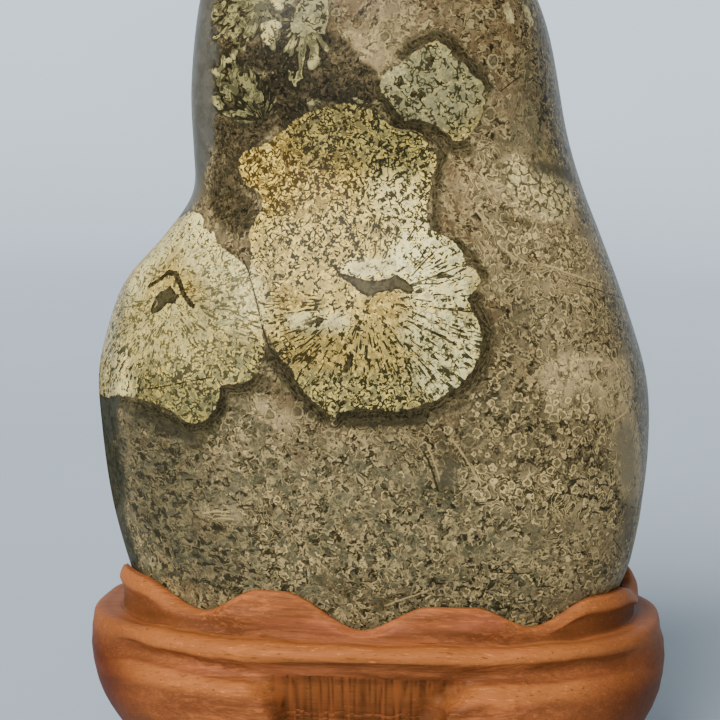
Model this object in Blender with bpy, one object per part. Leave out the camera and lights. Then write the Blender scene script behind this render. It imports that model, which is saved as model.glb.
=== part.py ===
"""A flower stone standing in the carved wooden stand that was cut to hold it.

Metres, +Z up. The origin is on the table, under the middle of the stand, and the stone's flowered face
looks along -Y. Two pieces: the stone, one water-worn boulder, and the stand, one carved block of wood.
Each starts as a UV sphere, whose rings are carried out onto the sections of the real piece.
"""

import bmesh
import bpy
import numpy as np

MM = 0.001

# The stone, in millimetres.
STONE_TOP = 234.0
STONE_FOOT = 37.0
CROWN_START = 172.0  # above this height the sides close over into the crown
CROWN_ROUNDNESS = 2.4
CROWN_LEAN = -5.0  # how far the crown's highest point stands left of the axis
SOLE_START = 49.0  # below this height the sides close under into the sole, inside the seat
SOLE_ROUNDNESS = 3.0
STONE_SEGMENTS, STONE_RINGS = 60, 34
STONE_EVENNESS = 0.10  # how far the segments are drawn towards the broad faces

# How far the stone reaches from its axis at each height: height, left, right, front, back.
STONE_STATIONS = np.array([
    (37.0, 60.0, 59.0, 33.0, 32.5),
    (48.0, 62.6, 61.4, 35.3, 34.8),
    (60.0, 66.4, 65.1, 38.2, 36.8),
    (74.0, 69.6, 68.3, 40.6, 38.4),
    (90.0, 71.4, 68.7, 42.0, 39.4),
    (104.0, 71.0, 67.4, 42.0, 39.4),
    (117.0, 67.3, 64.3, 41.0, 38.8),
    (129.0, 62.5, 60.6, 39.2, 37.8),
    (140.0, 54.0, 56.3, 36.9, 36.6),
    (150.0, 47.9, 52.2, 34.8, 35.2),
    (162.0, 46.7, 48.2, 33.2, 34.2),
    (178.0, 46.3, 44.5, 32.4, 32.8),
    (200.0, 46.5, 41.7, 32.0, 31.2),
    (234.0, 47.0, 38.8, 31.0, 29.0),
])

# How square each side's section is: 2 is an ellipse, and more is squarer.
SQUARENESS_HEIGHTS = (40.0, 100.0, 140.0, 170.0, 234.0)
LEFT_SQUARENESS = (2.25, 2.3, 2.5, 3.1, 2.6)
RIGHT_SQUARENESS = (2.8, 2.6, 2.4, 2.4, 2.4)

# Swellings and hollows worn into the faces: x, y, z of the middle, spread, height (a hollow is negative).
STONE_LUMPS = (
    (-57.0, -22.0, 112.0, 17.0, 1.8),
    (-4.0, -42.0, 126.0, 22.0, 1.5),
    (-46.0, -16.0, 154.0, 10.0, -1.6),
    (29.0, -36.0, 164.0, 12.0, -2.4),
    (40.0, -26.0, 186.0, 11.0, 1.2),
    (46.0, -34.0, 98.0, 20.0, 1.2),
    (-18.0, -44.0, 92.0, 12.0, -1.1),
    (22.0, 40.0, 122.0, 20.0, -3.2),
    (-34.0, 36.0, 92.0, 22.0, 2.4),
    (-20.0, 34.0, 158.0, 16.0, -2.2),
    (8.0, 30.0, 192.0, 17.0, 2.0),
    (50.0, 20.0, 84.0, 18.0, 1.6),
)
# Slow waves left by the river: x, y and z turns per metre, start in turns, height in millimetres.
STONE_WAVES = (
    (13.0, 6.0, 9.0, 0.10, 0.45),
    (-8.0, 17.0, 12.0, 0.35, 0.40),
    (19.0, -9.0, -16.0, 0.62, 0.28),
)

# The waves and the swellings fade in above the seat, from this height.
RELIEF_START = 50.2

# The stand, in millimetres. Its rings are measured outward from the seat's own outline.
SEAT_HALF_WIDTH, SEAT_HALF_DEPTH = 62.5, 35.0
SEAT_FLOOR = STONE_FOOT - 0.3
SEAT_GAP = 0.5
PLAN_SQUARENESS = 2.45
LEDGE = 44.2
STAND_SEGMENTS = 88
STAND_EVENNESS = 0.12

# The collar's wavy rim: angle in degrees, counted from the right end towards the back, and height.
RIM_WAVE = (
    (-198.0, 54.4), (-180.0, 51.0), (-160.0, 55.2), (-145.0, 54.6), (-126.0, 48.8), (-110.5, 55.4),
    (-105.5, 55.4), (-89.0, 46.5), (-74.0, 52.8), (-65.0, 52.8), (-51.5, 47.6), (-36.0, 53.6),
    (-20.0, 53.4), (0.0, 50.6), (18.0, 53.6), (34.0, 53.8), (52.0, 48.4), (67.0, 53.6),
    (75.0, 53.6), (90.0, 47.6), (105.0, 53.8), (113.0, 53.8), (128.0, 48.6), (145.0, 54.4),
    (162.0, 54.4), (180.0, 51.0), (200.0, 55.2),
)

# The outside below the rim, ring by ring, as offset and height: on the broad faces' lobes, where a cove
# parts them from the bead above, then round the plain ends, then on the sunk panels between the lobes.
OUTER_RINGS = (
    (4.9, 44.2, 4.9, 44.2, 4.9, 44.2),
    (7.9, 44.1, 8.4, 44.1, 7.9, 44.1),
    (9.5, 43.3, 10.1, 43.4, 9.5, 43.3),
    (10.2, 41.9, 10.6, 42.0, 10.2, 41.9),
    (9.9, 40.7, 10.9, 40.3, 9.9, 40.7),
    (8.9, 39.8, 11.3, 38.6, 8.8, 39.8),
    (8.0, 38.4, 11.7, 36.9, 7.6, 38.4),
    (8.0, 37.1, 11.8, 35.5, 7.1, 36.9),
    (9.0, 36.1, 11.8, 34.0, 6.5, 35.6),
    (10.4, 35.2, 11.7, 32.4, 5.9, 33.8),
    (11.6, 32.6, 11.4, 30.4, 5.6, 31.0),
    (11.8, 29.2, 10.9, 27.8, 5.2, 27.4),
    (11.1, 24.8, 9.8, 23.8, 4.7, 23.2),
    (9.1, 20.0, 7.9, 19.4, 4.2, 19.0),
    (5.9, 15.0, 4.8, 14.6, 3.5, 15.5),
    (1.8, 10.0, 0.8, 9.8, 2.7, 12.5),
    (-3.0, 5.6, -3.8, 5.4, 1.6, 10.6),
    (-7.6, 2.2, -8.0, 2.1, -0.4, 9.5),
    (-10.4, 0.5, -10.6, 0.5, -3.6, 9.0),
    (-11.6, 0.0, -11.8, 0.0, -8.0, 8.8),
    (-21.4, 0.0, -21.4, 0.0, -18.0, 8.6),
    (-22.6, 0.7, -22.6, 0.7, -22.0, 8.5),
    (-24.2, 7.6, -24.2, 7.6, -24.4, 8.4),
)
UNDERSIDE = 8.4
# The cove fades out between these distances from the middle.
PLAIN_LEFT_END, PLAIN_RIGHT_END = (56.0, 66.0), (62.0, 73.0)
RIM_BEVEL = (42.0, 60.0)  # and the rim's bevel widens between these
SHOULDER_SHIFT = -0.6  # the shoulders of both ends lie this far to the left
COVE_SAG, SAG_MIDDLE, SAG_SPREAD = 1.3, -28.0, 16.0  # the front cove dips towards its left panel corner
PANEL_FADE, CORNER_FADE = 4.0, 11.0  # how far a lobe takes to roll back, low down and at its corners
# The panels' left and right edges, below the lobes' rounded corners and at their tops.
FRONT_PANEL_LOW, FRONT_PANEL_HIGH = (-19.0, 19.0), (-23.0, 29.0)
BACK_PANEL_LOW, BACK_PANEL_HIGH = (-19.0, 19.0), (-26.0, 26.0)
CORNER = (26.0, 36.0)  # the heights between which the lobes' inner corners round off


def through(places, values, at):
    """A smooth curve through (place, value) points: cubic Hermite, its slopes taken from the neighbours."""
    places, values = np.asarray(places, float), np.asarray(values, float)
    slopes = np.gradient(values, places)
    at = np.clip(at, places[0], places[-1])
    i = np.clip(np.searchsorted(places, at) - 1, 0, len(places) - 2)
    step = places[i + 1] - places[i]
    f = (at - places[i]) / step
    return (
        values[i] * (2 * f**3 - 3 * f**2 + 1)
        + values[i + 1] * (3 * f**2 - 2 * f**3)
        + slopes[i] * step * (f**3 - 2 * f**2 + f)
        + slopes[i + 1] * step * (f**3 - f**2)
    )


def ease(f):
    """0 below 0, 1 above 1, and a smooth S between them."""
    f = np.clip(f, 0.0, 1.0)
    return f * f * (3 - 2 * f)


def closing(height, start, end, roundness):
    """The share of its width that a side keeps as it closes over between start and end."""
    f = np.clip((height - start) / (end - start), 0.0, 1.0)
    return (1 - f**roundness) ** (1 / roundness)


def squared(angle, squareness):
    """Unit outline between an ellipse and a rectangle, at this angle: (x, y)."""
    c, s = np.cos(angle), np.sin(angle)
    reach = (np.abs(c) ** squareness + np.abs(s) ** squareness) ** (-1 / squareness)
    return c * reach, s * reach


def stone_section(angle, height):
    """The stone's outline at a height, before its crown and sole close over: (x, y)."""
    left, right, front, back = (
        through(STONE_STATIONS[:, 0], STONE_STATIONS[:, k], height) for k in range(1, 5)
    )
    rightness = (1 + np.cos(angle)) / 2
    squareness = (1 - rightness) * through(SQUARENESS_HEIGHTS, LEFT_SQUARENESS, height)
    squareness += rightness * through(SQUARENESS_HEIGHTS, RIGHT_SQUARENESS, height)
    x, y = squared(angle, squareness)
    return x * np.where(x > 0, right, left), y * np.where(y > 0, back, front)


def stone_relief(x, y, z):
    """How far the worn surface stands out from the plain sections at a point."""
    height = np.zeros_like(x)
    for cx, cy, cz, spread, rise in STONE_LUMPS:
        apart = (x - cx) ** 2 + (y - cy) ** 2 + (z - cz) ** 2
        height += rise * np.exp(-apart / (2 * spread**2))
    for wx, wy, wz, start, rise in STONE_WAVES:
        height += rise * np.sin(2 * np.pi * (MM * (wx * x + wy * y + wz * z) + start))
    return height


def stone_point(angle, polar):
    """A point of the stone from its angle round the axis and its angle down from the crown."""
    middle, half = (STONE_TOP + STONE_FOOT) / 2, (STONE_TOP - STONE_FOOT) / 2
    z = middle + half * np.cos(polar)
    x, y = stone_section(angle, z)
    close = closing(z, CROWN_START, STONE_TOP, CROWN_ROUNDNESS)
    close *= closing(-z, -SOLE_START, -STONE_FOOT, SOLE_ROUNDNESS)
    lean = CROWN_LEAN * ease((z - CROWN_START) / (STONE_TOP - CROWN_START))
    x, y = x * close + lean * (1 - close**2), y * close
    above_seat = ease((z - RELIEF_START) / 12.0)
    out = stone_relief(x, y, z) * close * above_seat
    return x + out * np.cos(angle), y + out * np.sin(angle), z


def rim_height(angle):
    """The height of the collar's wavy rim: crests and troughs, each level at its own angle."""
    angles, heights = np.array(RIM_WAVE).T
    degrees = np.degrees(angle)
    i = np.clip(np.searchsorted(angles, degrees) - 1, 0, len(angles) - 2)
    f = ease((degrees - angles[i]) / (angles[i + 1] - angles[i]))
    return heights[i] + (heights[i + 1] - heights[i]) * f


def stand_outline(angle, offset):
    """The stand's plan outline, this far outside the outline of its seat: (x, y)."""
    x, y = squared(angle, PLAN_SQUARENESS)
    return x * (SEAT_HALF_WIDTH + offset), y * (SEAT_HALF_DEPTH + offset)


def panel_share(x, y, height):
    """1 on the sunk panels between the lobes and 0 on the lobes, whose upper inner corners are rounded."""
    corner = ease((height - CORNER[0]) / (CORNER[1] - CORNER[0]))
    edges = []
    for side in range(2):
        front = FRONT_PANEL_LOW[side] + (FRONT_PANEL_HIGH[side] - FRONT_PANEL_LOW[side]) * corner
        back = BACK_PANEL_LOW[side] + (BACK_PANEL_HIGH[side] - BACK_PANEL_LOW[side]) * corner
        edges.append(np.where(y < 0, front, back))
    left, right = edges
    fade = PANEL_FADE + (CORNER_FADE - PANEL_FADE) * corner
    return ease((x - left) / fade + 0.5) * ease((right - x) / fade + 0.5)


def plain_end(x):
    """0 where the cove runs and 1 on the plain ends, which start further out on the right."""
    start, end = (np.where(x < 0, PLAIN_LEFT_END[k], PLAIN_RIGHT_END[k]) for k in range(2))
    return ease((np.abs(x) - start) / (end - start))


def stand_rings(angle):
    """Every ring of the stand at these angles, from the middle of its seat to the middle underneath."""
    rim = rim_height(angle)
    level = np.ones_like(angle)

    def seat(height, gap):
        x, y = stone_section(angle, height)
        grown = 1 + gap / np.hypot(x, y)
        return x * grown, y * grown

    collar_x, _ = stand_outline(angle, 4.0)
    bevel = ease((np.abs(collar_x) - RIM_BEVEL[0]) / (RIM_BEVEL[1] - RIM_BEVEL[0]))
    floor_x, floor_y = seat(SEAT_FLOOR * level, SEAT_GAP)
    rim_x, rim_y = seat(rim, SEAT_GAP + 0.5)
    lip_x, lip_y = stand_outline(angle, 3.5 + 1.1 * bevel)
    rings = [
        (floor_x * 0.5, floor_y * 0.5, SEAT_FLOOR * level),
        (floor_x * 0.96, floor_y * 0.96, SEAT_FLOOR * level),
        (*seat((SEAT_FLOOR + 1.5) * level, SEAT_GAP), (SEAT_FLOOR + 1.5) * level),
        (*seat(LEDGE * level, SEAT_GAP), LEDGE * level),
        (*seat(rim - 0.6, SEAT_GAP), rim - 0.6),
        (rim_x, rim_y, rim),
        ((rim_x + lip_x) / 2, (rim_y + lip_y) / 2, rim - 0.3),
        (lip_x, lip_y, rim - 1.5 - 1.6 * bevel),
        (*stand_outline(angle, 3.9 - 0.2 * bevel), LEDGE + 0.45 * (rim - LEDGE)),
        (*stand_outline(angle, 4.3 - 0.6 * bevel), (LEDGE + 0.5) * level),
    ]
    middle_x, middle_y = stand_outline(angle, 8.0 * level)
    end = plain_end(middle_x)
    sag = COVE_SAG * np.exp(-(((middle_x - SAG_MIDDLE) / SAG_SPREAD) ** 2)) * (middle_y < 0)
    for lobe_offset, lobe_height, end_offset, end_height, panel_offset, panel_height in OUTER_RINGS:
        offset = lobe_offset + (end_offset - lobe_offset) * end
        height = lobe_height + (end_height - lobe_height) * end
        panel = panel_share(*stand_outline(angle, offset), height)
        offset += (panel_offset - offset) * panel
        height += (panel_height - height) * panel
        x, y = stand_outline(angle, offset)
        shoulder = end * ease((height - 36.0) / 5.0) * ease((offset - 5.0) / 3.0)
        height -= sag * ease((height - 26.0) / 9.0) * ease((43.0 - height) / 3.0)
        rings.append((x + SHOULDER_SHIFT * shoulder, y, height))
    return rings


def sphere(name, segments, rings, evenness):
    """A new object with a UV sphere's mesh: (object, ring number and angle of each vertex).

    The angles are drawn towards the front and the back, where a broad piece would get long faces.
    """
    mesh = bpy.data.meshes.new(name)
    bm = bmesh.new()
    bmesh.ops.create_uvsphere(bm, u_segments=segments, v_segments=rings, radius=1.0)
    bm.to_mesh(mesh)
    bm.free()
    at = np.empty(len(mesh.vertices) * 3, np.float32)
    mesh.vertices.foreach_get("co", at)
    x, y, z = at.reshape(-1, 3).astype(float).T
    polar = np.arccos(np.clip(z, -1.0, 1.0))
    ring = np.rint(polar / np.pi * rings).astype(int)
    angle = np.arctan2(y, x)
    return bpy.data.objects.new(name, mesh), ring, angle + evenness * np.sin(2 * angle)


def place(obj, points_mm, colour, roughness):
    """Puts the vertices at these points, shades the piece smooth and gives it its material."""
    mesh = obj.data
    mesh.vertices.foreach_set("co", (np.column_stack(points_mm) * MM).astype(np.float32).ravel())
    mesh.update()
    mesh.shade_smooth()
    material = bpy.data.materials.new(obj.name)
    material.use_nodes = True
    shader = material.node_tree.nodes["Principled BSDF"]
    shader.inputs["Base Color"].default_value = (*colour, 1.0)
    shader.inputs["Roughness"].default_value = roughness
    shader.inputs["Metallic"].default_value = 0.0
    mesh.materials.append(material)


def make_stone():
    obj, ring, angle = sphere("stone", STONE_SEGMENTS, STONE_RINGS, STONE_EVENNESS)
    points = stone_point(angle, np.pi * ring / STONE_RINGS)
    place(obj, points, colour=(0.26, 0.22, 0.15), roughness=0.35)
    return obj


def make_stand():
    ring_count = len(stand_rings(np.zeros(1)))
    obj, ring, angle = sphere("stand", STAND_SEGMENTS, ring_count + 1, STAND_EVENNESS)
    rings = np.array(stand_rings(angle))
    chosen = np.clip(ring - 1, 0, ring_count - 1)
    x, y, z = rings[chosen, :, np.arange(len(angle))].T
    x[ring == 0], y[ring == 0], z[ring == 0] = 0.0, 0.0, SEAT_FLOOR
    below = ring == ring_count + 1
    x[below], y[below], z[below] = 0.0, 0.0, UNDERSIDE
    place(obj, (x, y, z), colour=(0.47, 0.19, 0.08), roughness=0.45)
    return obj


def main():
    for obj in list(bpy.data.objects):
        bpy.data.objects.remove(obj)
    parts = bpy.data.collections.new("flower_stone")
    bpy.context.scene.collection.children.link(parts)
    for obj in (make_stone(), make_stand()):
        parts.objects.link(obj)


main()
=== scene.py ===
# %% [markdown]
# # A flower stone in its carved wooden stand
# A flower stone is a river boulder full of fossil growths. Worn smooth and polished, each growth shows as a
# pale "flower" in the brown rock. The stone is stood upright in a wooden stand whose seat is cut to its foot.
# This lesson makes both pieces as number surfaces, and gives them a finish made only of noise, distances and
# a few outlines read off the photo.

# %% Load the frame
import math
from types import SimpleNamespace

import bpy
import numpy as np
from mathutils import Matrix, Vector


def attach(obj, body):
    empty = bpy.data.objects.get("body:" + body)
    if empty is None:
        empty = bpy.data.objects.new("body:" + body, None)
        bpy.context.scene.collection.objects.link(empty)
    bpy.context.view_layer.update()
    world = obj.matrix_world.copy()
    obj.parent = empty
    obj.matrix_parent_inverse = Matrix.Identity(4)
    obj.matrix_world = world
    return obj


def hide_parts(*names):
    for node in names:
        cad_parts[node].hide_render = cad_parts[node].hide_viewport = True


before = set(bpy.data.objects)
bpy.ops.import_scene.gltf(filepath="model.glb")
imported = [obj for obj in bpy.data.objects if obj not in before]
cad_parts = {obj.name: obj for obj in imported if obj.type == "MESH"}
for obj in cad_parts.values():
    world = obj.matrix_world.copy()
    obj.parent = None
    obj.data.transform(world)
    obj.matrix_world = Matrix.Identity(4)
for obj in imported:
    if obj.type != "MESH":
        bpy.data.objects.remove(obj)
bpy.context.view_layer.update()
print("CAD nodes:", sorted(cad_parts))

# %% [markdown]
# ## Measures
# All lengths are in millimetres until a mesh is made. The stone is described by how far it reaches left,
# right, forward and back at a few heights, because that is what a carver would measure to cut its seat.

# %% Measures of the stone
MM = 0.001
STONE_TOP, STONE_FOOT = 234.0, 37.0
CROWN_START, CROWN_ROUNDNESS, CROWN_LEAN = 172.0, 2.4, -5.0
SOLE_START, SOLE_ROUNDNESS = 49.0, 3.0
# height, left, right, front, back
STONE_STATIONS = np.array([
    (37.0, 60.0, 59.0, 33.0, 32.5), (48.0, 62.6, 61.4, 35.3, 34.8), (60.0, 66.4, 65.1, 38.2, 36.8),
    (74.0, 69.6, 68.3, 40.6, 38.4), (90.0, 71.4, 68.7, 42.0, 39.4), (104.0, 71.0, 67.4, 42.0, 39.4),
    (117.0, 67.3, 64.3, 41.0, 38.8), (129.0, 62.5, 60.6, 39.2, 37.8), (140.0, 54.0, 56.3, 36.9, 36.6),
    (150.0, 47.9, 52.2, 34.8, 35.2), (162.0, 46.7, 48.2, 33.2, 34.2), (178.0, 46.3, 44.5, 32.4, 32.8),
    (200.0, 46.5, 41.7, 32.0, 31.2), (234.0, 47.0, 38.8, 31.0, 29.0),
])
SQUARENESS_HEIGHTS = (40.0, 100.0, 140.0, 170.0, 234.0)
LEFT_SQUARENESS = (2.25, 2.3, 2.5, 3.1, 2.6)
RIGHT_SQUARENESS = (2.8, 2.6, 2.4, 2.4, 2.4)
# x, y, z of the middle, spread, height
STONE_LUMPS = (
    (-57.0, -22.0, 112.0, 17.0, 1.8), (-4.0, -42.0, 126.0, 22.0, 1.5), (-46.0, -16.0, 154.0, 10.0, -1.6),
    (29.0, -36.0, 164.0, 12.0, -2.4), (40.0, -26.0, 186.0, 11.0, 1.2), (46.0, -34.0, 98.0, 20.0, 1.2),
    (-18.0, -44.0, 92.0, 12.0, -1.1), (22.0, 40.0, 122.0, 20.0, -3.2), (-34.0, 36.0, 92.0, 22.0, 2.4),
    (-20.0, 34.0, 158.0, 16.0, -2.2), (8.0, 30.0, 192.0, 17.0, 2.0), (50.0, 20.0, 84.0, 18.0, 1.6),
)
RELIEF_START = 50.2
# turns per metre along x, y and z, start in turns, height
STONE_WAVES = (
    (13.0, 6.0, 9.0, 0.10, 0.45), (-8.0, 17.0, 12.0, 0.35, 0.40), (19.0, -9.0, -16.0, 0.62, 0.28),
)

# %% Measures of the stand
SEAT_HALF_WIDTH, SEAT_HALF_DEPTH = 62.5, 35.0
SEAT_FLOOR = STONE_FOOT - 0.3
SEAT_GAP = 0.5
PLAN_SQUARENESS = 2.45
LEDGE = 44.2
RIM_WAVE = (
    (-198.0, 54.4), (-180.0, 51.0), (-160.0, 55.2), (-145.0, 54.6), (-126.0, 48.8), (-110.5, 55.4),
    (-105.5, 55.4), (-89.0, 46.5), (-74.0, 52.8), (-65.0, 52.8), (-51.5, 47.6), (-36.0, 53.6),
    (-20.0, 53.4), (0.0, 50.6), (18.0, 53.6), (34.0, 53.8), (52.0, 48.4), (67.0, 53.6),
    (75.0, 53.6), (90.0, 47.6), (105.0, 53.8), (113.0, 53.8), (128.0, 48.6), (145.0, 54.4),
    (162.0, 54.4), (180.0, 51.0), (200.0, 55.2),
)
# offset and height on the lobes, round the plain ends, and on the sunk panels
OUTER_RINGS = (
    (4.9, 44.2, 4.9, 44.2, 4.9, 44.2), (7.9, 44.1, 8.4, 44.1, 7.9, 44.1),
    (9.5, 43.3, 10.1, 43.4, 9.5, 43.3), (10.2, 41.9, 10.6, 42.0, 10.2, 41.9),
    (9.9, 40.7, 10.9, 40.3, 9.9, 40.7), (8.9, 39.8, 11.3, 38.6, 8.8, 39.8),
    (8.0, 38.4, 11.7, 36.9, 7.6, 38.4), (8.0, 37.1, 11.8, 35.5, 7.1, 36.9),
    (9.0, 36.1, 11.8, 34.0, 6.5, 35.6), (10.4, 35.2, 11.7, 32.4, 5.9, 33.8),
    (11.6, 32.6, 11.4, 30.4, 5.6, 31.0), (11.8, 29.2, 10.9, 27.8, 5.2, 27.4),
    (11.1, 24.8, 9.8, 23.8, 4.7, 23.2), (9.1, 20.0, 7.9, 19.4, 4.2, 19.0),
    (5.9, 15.0, 4.8, 14.6, 3.5, 15.5), (1.8, 10.0, 0.8, 9.8, 2.7, 12.5), (-3.0, 5.6, -3.8, 5.4, 1.6, 10.6),
    (-7.6, 2.2, -8.0, 2.1, -0.4, 9.5), (-10.4, 0.5, -10.6, 0.5, -3.6, 9.0),
    (-11.6, 0.0, -11.8, 0.0, -8.0, 8.8), (-21.4, 0.0, -21.4, 0.0, -18.0, 8.6),
    (-22.6, 0.7, -22.6, 0.7, -22.0, 8.5), (-24.2, 7.6, -24.2, 7.6, -24.4, 8.4),
)
UNDERSIDE = 8.4
PLAIN_LEFT_END, PLAIN_RIGHT_END = (56.0, 66.0), (62.0, 73.0)
RIM_BEVEL = (42.0, 60.0)
SHOULDER_SHIFT = -0.6
COVE_SAG, SAG_MIDDLE, SAG_SPREAD = 1.3, -28.0, 16.0
PANEL_FADE, CORNER_FADE = 4.0, 11.0
FRONT_PANEL_LOW, FRONT_PANEL_HIGH = (-19.0, 19.0), (-23.0, 29.0)
BACK_PANEL_LOW, BACK_PANEL_HIGH = (-19.0, 19.0), (-26.0, 26.0)
CORNER = (26.0, 36.0)

# %% [markdown]
# ## Curves and meshes
# Three small tools do the shaping: a smooth curve through stations, a soft step, and a closed skin of
# rings. Each works on whole arrays, so a hundred thousand points cost no more thought than one.


# %% Curve and mesh tools
def through(places, values, at):
    """A smooth curve through (place, value) points: cubic Hermite, its slopes taken from the neighbours."""
    places, values = np.asarray(places, float), np.asarray(values, float)
    slopes = np.gradient(values, places)
    at = np.clip(at, places[0], places[-1])
    i = np.clip(np.searchsorted(places, at) - 1, 0, len(places) - 2)
    step = places[i + 1] - places[i]
    f = (at - places[i]) / step
    return (
        values[i] * (2 * f**3 - 3 * f**2 + 1)
        + values[i + 1] * (3 * f**2 - 2 * f**3)
        + slopes[i] * step * (f**3 - 2 * f**2 + f)
        + slopes[i + 1] * step * (f**3 - f**2)
    )


def ease(f):
    """0 below 0, 1 above 1, and a smooth S between them."""
    f = np.clip(f, 0.0, 1.0)
    return f * f * (3 - 2 * f)


def squared(angle, squareness):
    """Unit outline between an ellipse and a rectangle, at this angle: (x, y)."""
    c, s = np.cos(angle), np.sin(angle)
    reach = (np.abs(c) ** squareness + np.abs(s) ** squareness) ** (-1 / squareness)
    return c * reach, s * reach


def skin(name, rings, first, last):
    """A closed mesh from rings of points (ring, segment, xyz) in millimetres and a point at each end.

    Each ring is joined to the next by squares that face outward where rings run from the foot up and
    segments run anticlockwise, and each end is closed by a fan.
    """
    count, around = rings.shape[:2]
    points = np.concatenate([rings.reshape(-1, 3), [first, last]]) * MM
    number = np.arange(count * around).reshape(count, around)
    after = np.roll(number, -1, axis=1)
    squares = np.stack([number[:-1], after[:-1], after[1:], number[1:]], -1).reshape(-1, 4)
    low = np.full(around, count * around)
    fans = np.concatenate([
        np.stack([after[0], number[0], low], -1),
        np.stack([number[-1], after[-1], low + 1], -1),
    ])
    mesh = bpy.data.meshes.new(name)
    mesh.from_pydata(points.tolist(), [], squares.tolist() + fans.tolist())
    mesh.shade_smooth()
    obj = bpy.data.objects.new(name, mesh)
    bpy.context.scene.collection.objects.link(obj)
    print(name, "has", len(points), "points and", 2 * len(squares) + len(fans), "triangles")
    return obj


def keep(obj, name, values):
    """Stores one number per point as an attribute, with the two end points as their neighbours."""
    values = np.asarray(values, np.float32)
    flat = np.concatenate([values.ravel(), [values[0].mean(), values[-1].mean()]])
    obj.data.attributes.new(name, "FLOAT", "POINT").data.foreach_set("value", flat.astype(np.float32))


def seeded_waves(points, size, count, seed):
    """Smooth random relief between about -1 and 1: the mean of count sine waves about size long."""
    random = np.random.default_rng(seed)
    ways = random.normal(size=(count, 3))
    ways /= np.linalg.norm(ways, axis=1)[:, None]
    ways *= 2 * np.pi / (size * random.uniform(0.6, 1.6, (count, 1)))
    starts = random.uniform(0, 2 * np.pi, count)
    total = np.zeros(points.shape[:-1])
    for way, start in zip(ways, starts):
        total += np.sin(points @ way + start)
    return total / math.sqrt(count)


# %% [markdown]
# ## The stone's surface
# At each height the outline is a soft rectangle, closed over at the crown and under at the sole. A river
# leaves broad swellings and hollows, so a few are added, and slow waves after them. The rings stand closer
# on the flowered face, where the finish has the finest marks.


# %% The stone's surface
def stone_section(angle, height):
    """The stone's outline at a height, before its crown and sole close over: (x, y)."""
    left, right, front, back = (
        through(STONE_STATIONS[:, 0], STONE_STATIONS[:, k], height) for k in range(1, 5)
    )
    rightness = (1 + np.cos(angle)) / 2
    squareness = (1 - rightness) * through(SQUARENESS_HEIGHTS, LEFT_SQUARENESS, height)
    squareness += rightness * through(SQUARENESS_HEIGHTS, RIGHT_SQUARENESS, height)
    x, y = squared(angle, squareness)
    return x * np.where(x > 0, right, left), y * np.where(y > 0, back, front)


def closing(height, start, end, roundness):
    """The share of its width that a side keeps as it closes over between start and end."""
    f = np.clip((height - start) / (end - start), 0.0, 1.0)
    return (1 - f**roundness) ** (1 / roundness)


def stone_surface(angle, z):
    """Points of the worn stone for an angle round its axis and a height, as an array of x, y, z."""
    x, y = stone_section(angle, z)
    close = closing(z, CROWN_START, STONE_TOP, CROWN_ROUNDNESS)
    close = close * closing(-z, -SOLE_START, -STONE_FOOT, SOLE_ROUNDNESS)
    lean = CROWN_LEAN * ease((z - CROWN_START) / (STONE_TOP - CROWN_START))
    x, y = x * close + lean * (1 - close**2), y * close
    out = np.zeros_like(x)
    for cx, cy, cz, spread, rise in STONE_LUMPS:
        out += rise * np.exp(-((x - cx) ** 2 + (y - cy) ** 2 + (z - cz) ** 2) / (2 * spread**2))
    for wx, wy, wz, start, rise in STONE_WAVES:
        out += rise * np.sin(2 * np.pi * (MM * (wx * x + wy * y + wz * z) + start))
    out *= close * ease((z - RELIEF_START) / 12.0)
    return np.stack([x + out * np.cos(angle), y + out * np.sin(angle), z], -1)


FINE_STEP = 0.66
FINE_TOP = 200.0
STONE_AROUND = 352
turn = np.linspace(-1.5 * np.pi, 0.5 * np.pi, STONE_AROUND, endpoint=False)
stone_angle = turn + 0.10 * np.sin(2 * turn) - 0.30 * np.cos(turn)
sole = SOLE_START - (SOLE_START - STONE_FOOT) * np.sin(np.linspace(1.45, 0.12, 9)) ** (2 / SOLE_ROUNDNESS)
crown_turn = np.linspace(0.44, 1.53, 34)
crown = CROWN_START + (STONE_TOP - CROWN_START) * np.sin(crown_turn) ** (2 / CROWN_ROUNDNESS)
levels = np.concatenate([sole, np.arange(SOLE_START, FINE_TOP, FINE_STEP), crown[crown > FINE_TOP + 0.3]])
STONE_ANGLE, STONE_Z = np.meshgrid(stone_angle, levels)
stone_rings = stone_surface(STONE_ANGLE, STONE_Z)
stone = skin("stone_worn", stone_rings, (0, 0, STONE_FOOT), (CROWN_LEAN, 0, STONE_TOP))
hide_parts("stone")
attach(stone, "root")

# %% [markdown]
# ## A map of the stone
# Markings are placed on a flat map of the skin: how far round a point lies from the middle of the face, and
# how far up. The photo's camera turns a spot in the photo into a spot on this map, so an outline read off
# the photo lands on the stone where the photo shows it, and still lies properly on the sides.

# %% The photo's camera
PHOTO_WIDTH = 720
FOCAL_PIXELS = 2370.0
CAMERA_TURN = math.radians(8.5)
CAMERA_PITCH = math.radians(8.25)
CAMERA_SIDE, CAMERA_BACK, CAMERA_HEIGHT = -4.6, 600.0, 195.0
across_view = np.array([math.cos(CAMERA_TURN), math.sin(CAMERA_TURN), 0.0])
along_view = np.array([-math.sin(CAMERA_TURN), math.cos(CAMERA_TURN), 0.0])
eye = CAMERA_SIDE * across_view - CAMERA_BACK * along_view + np.array([0, 0, CAMERA_HEIGHT])
forward = math.cos(CAMERA_PITCH) * along_view - np.array([0, 0, math.sin(CAMERA_PITCH)])
upward = np.cross(across_view, forward)


def in_photo(points):
    """Where points in millimetres fall in the photo, in pixels from its top left corner."""
    away = points - eye
    depth = away @ forward
    px = PHOTO_WIDTH / 2 + FOCAL_PIXELS * (away @ across_view) / depth
    py = PHOTO_WIDTH / 2 - FOCAL_PIXELS * (away @ upward) / depth
    return px, py


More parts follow.
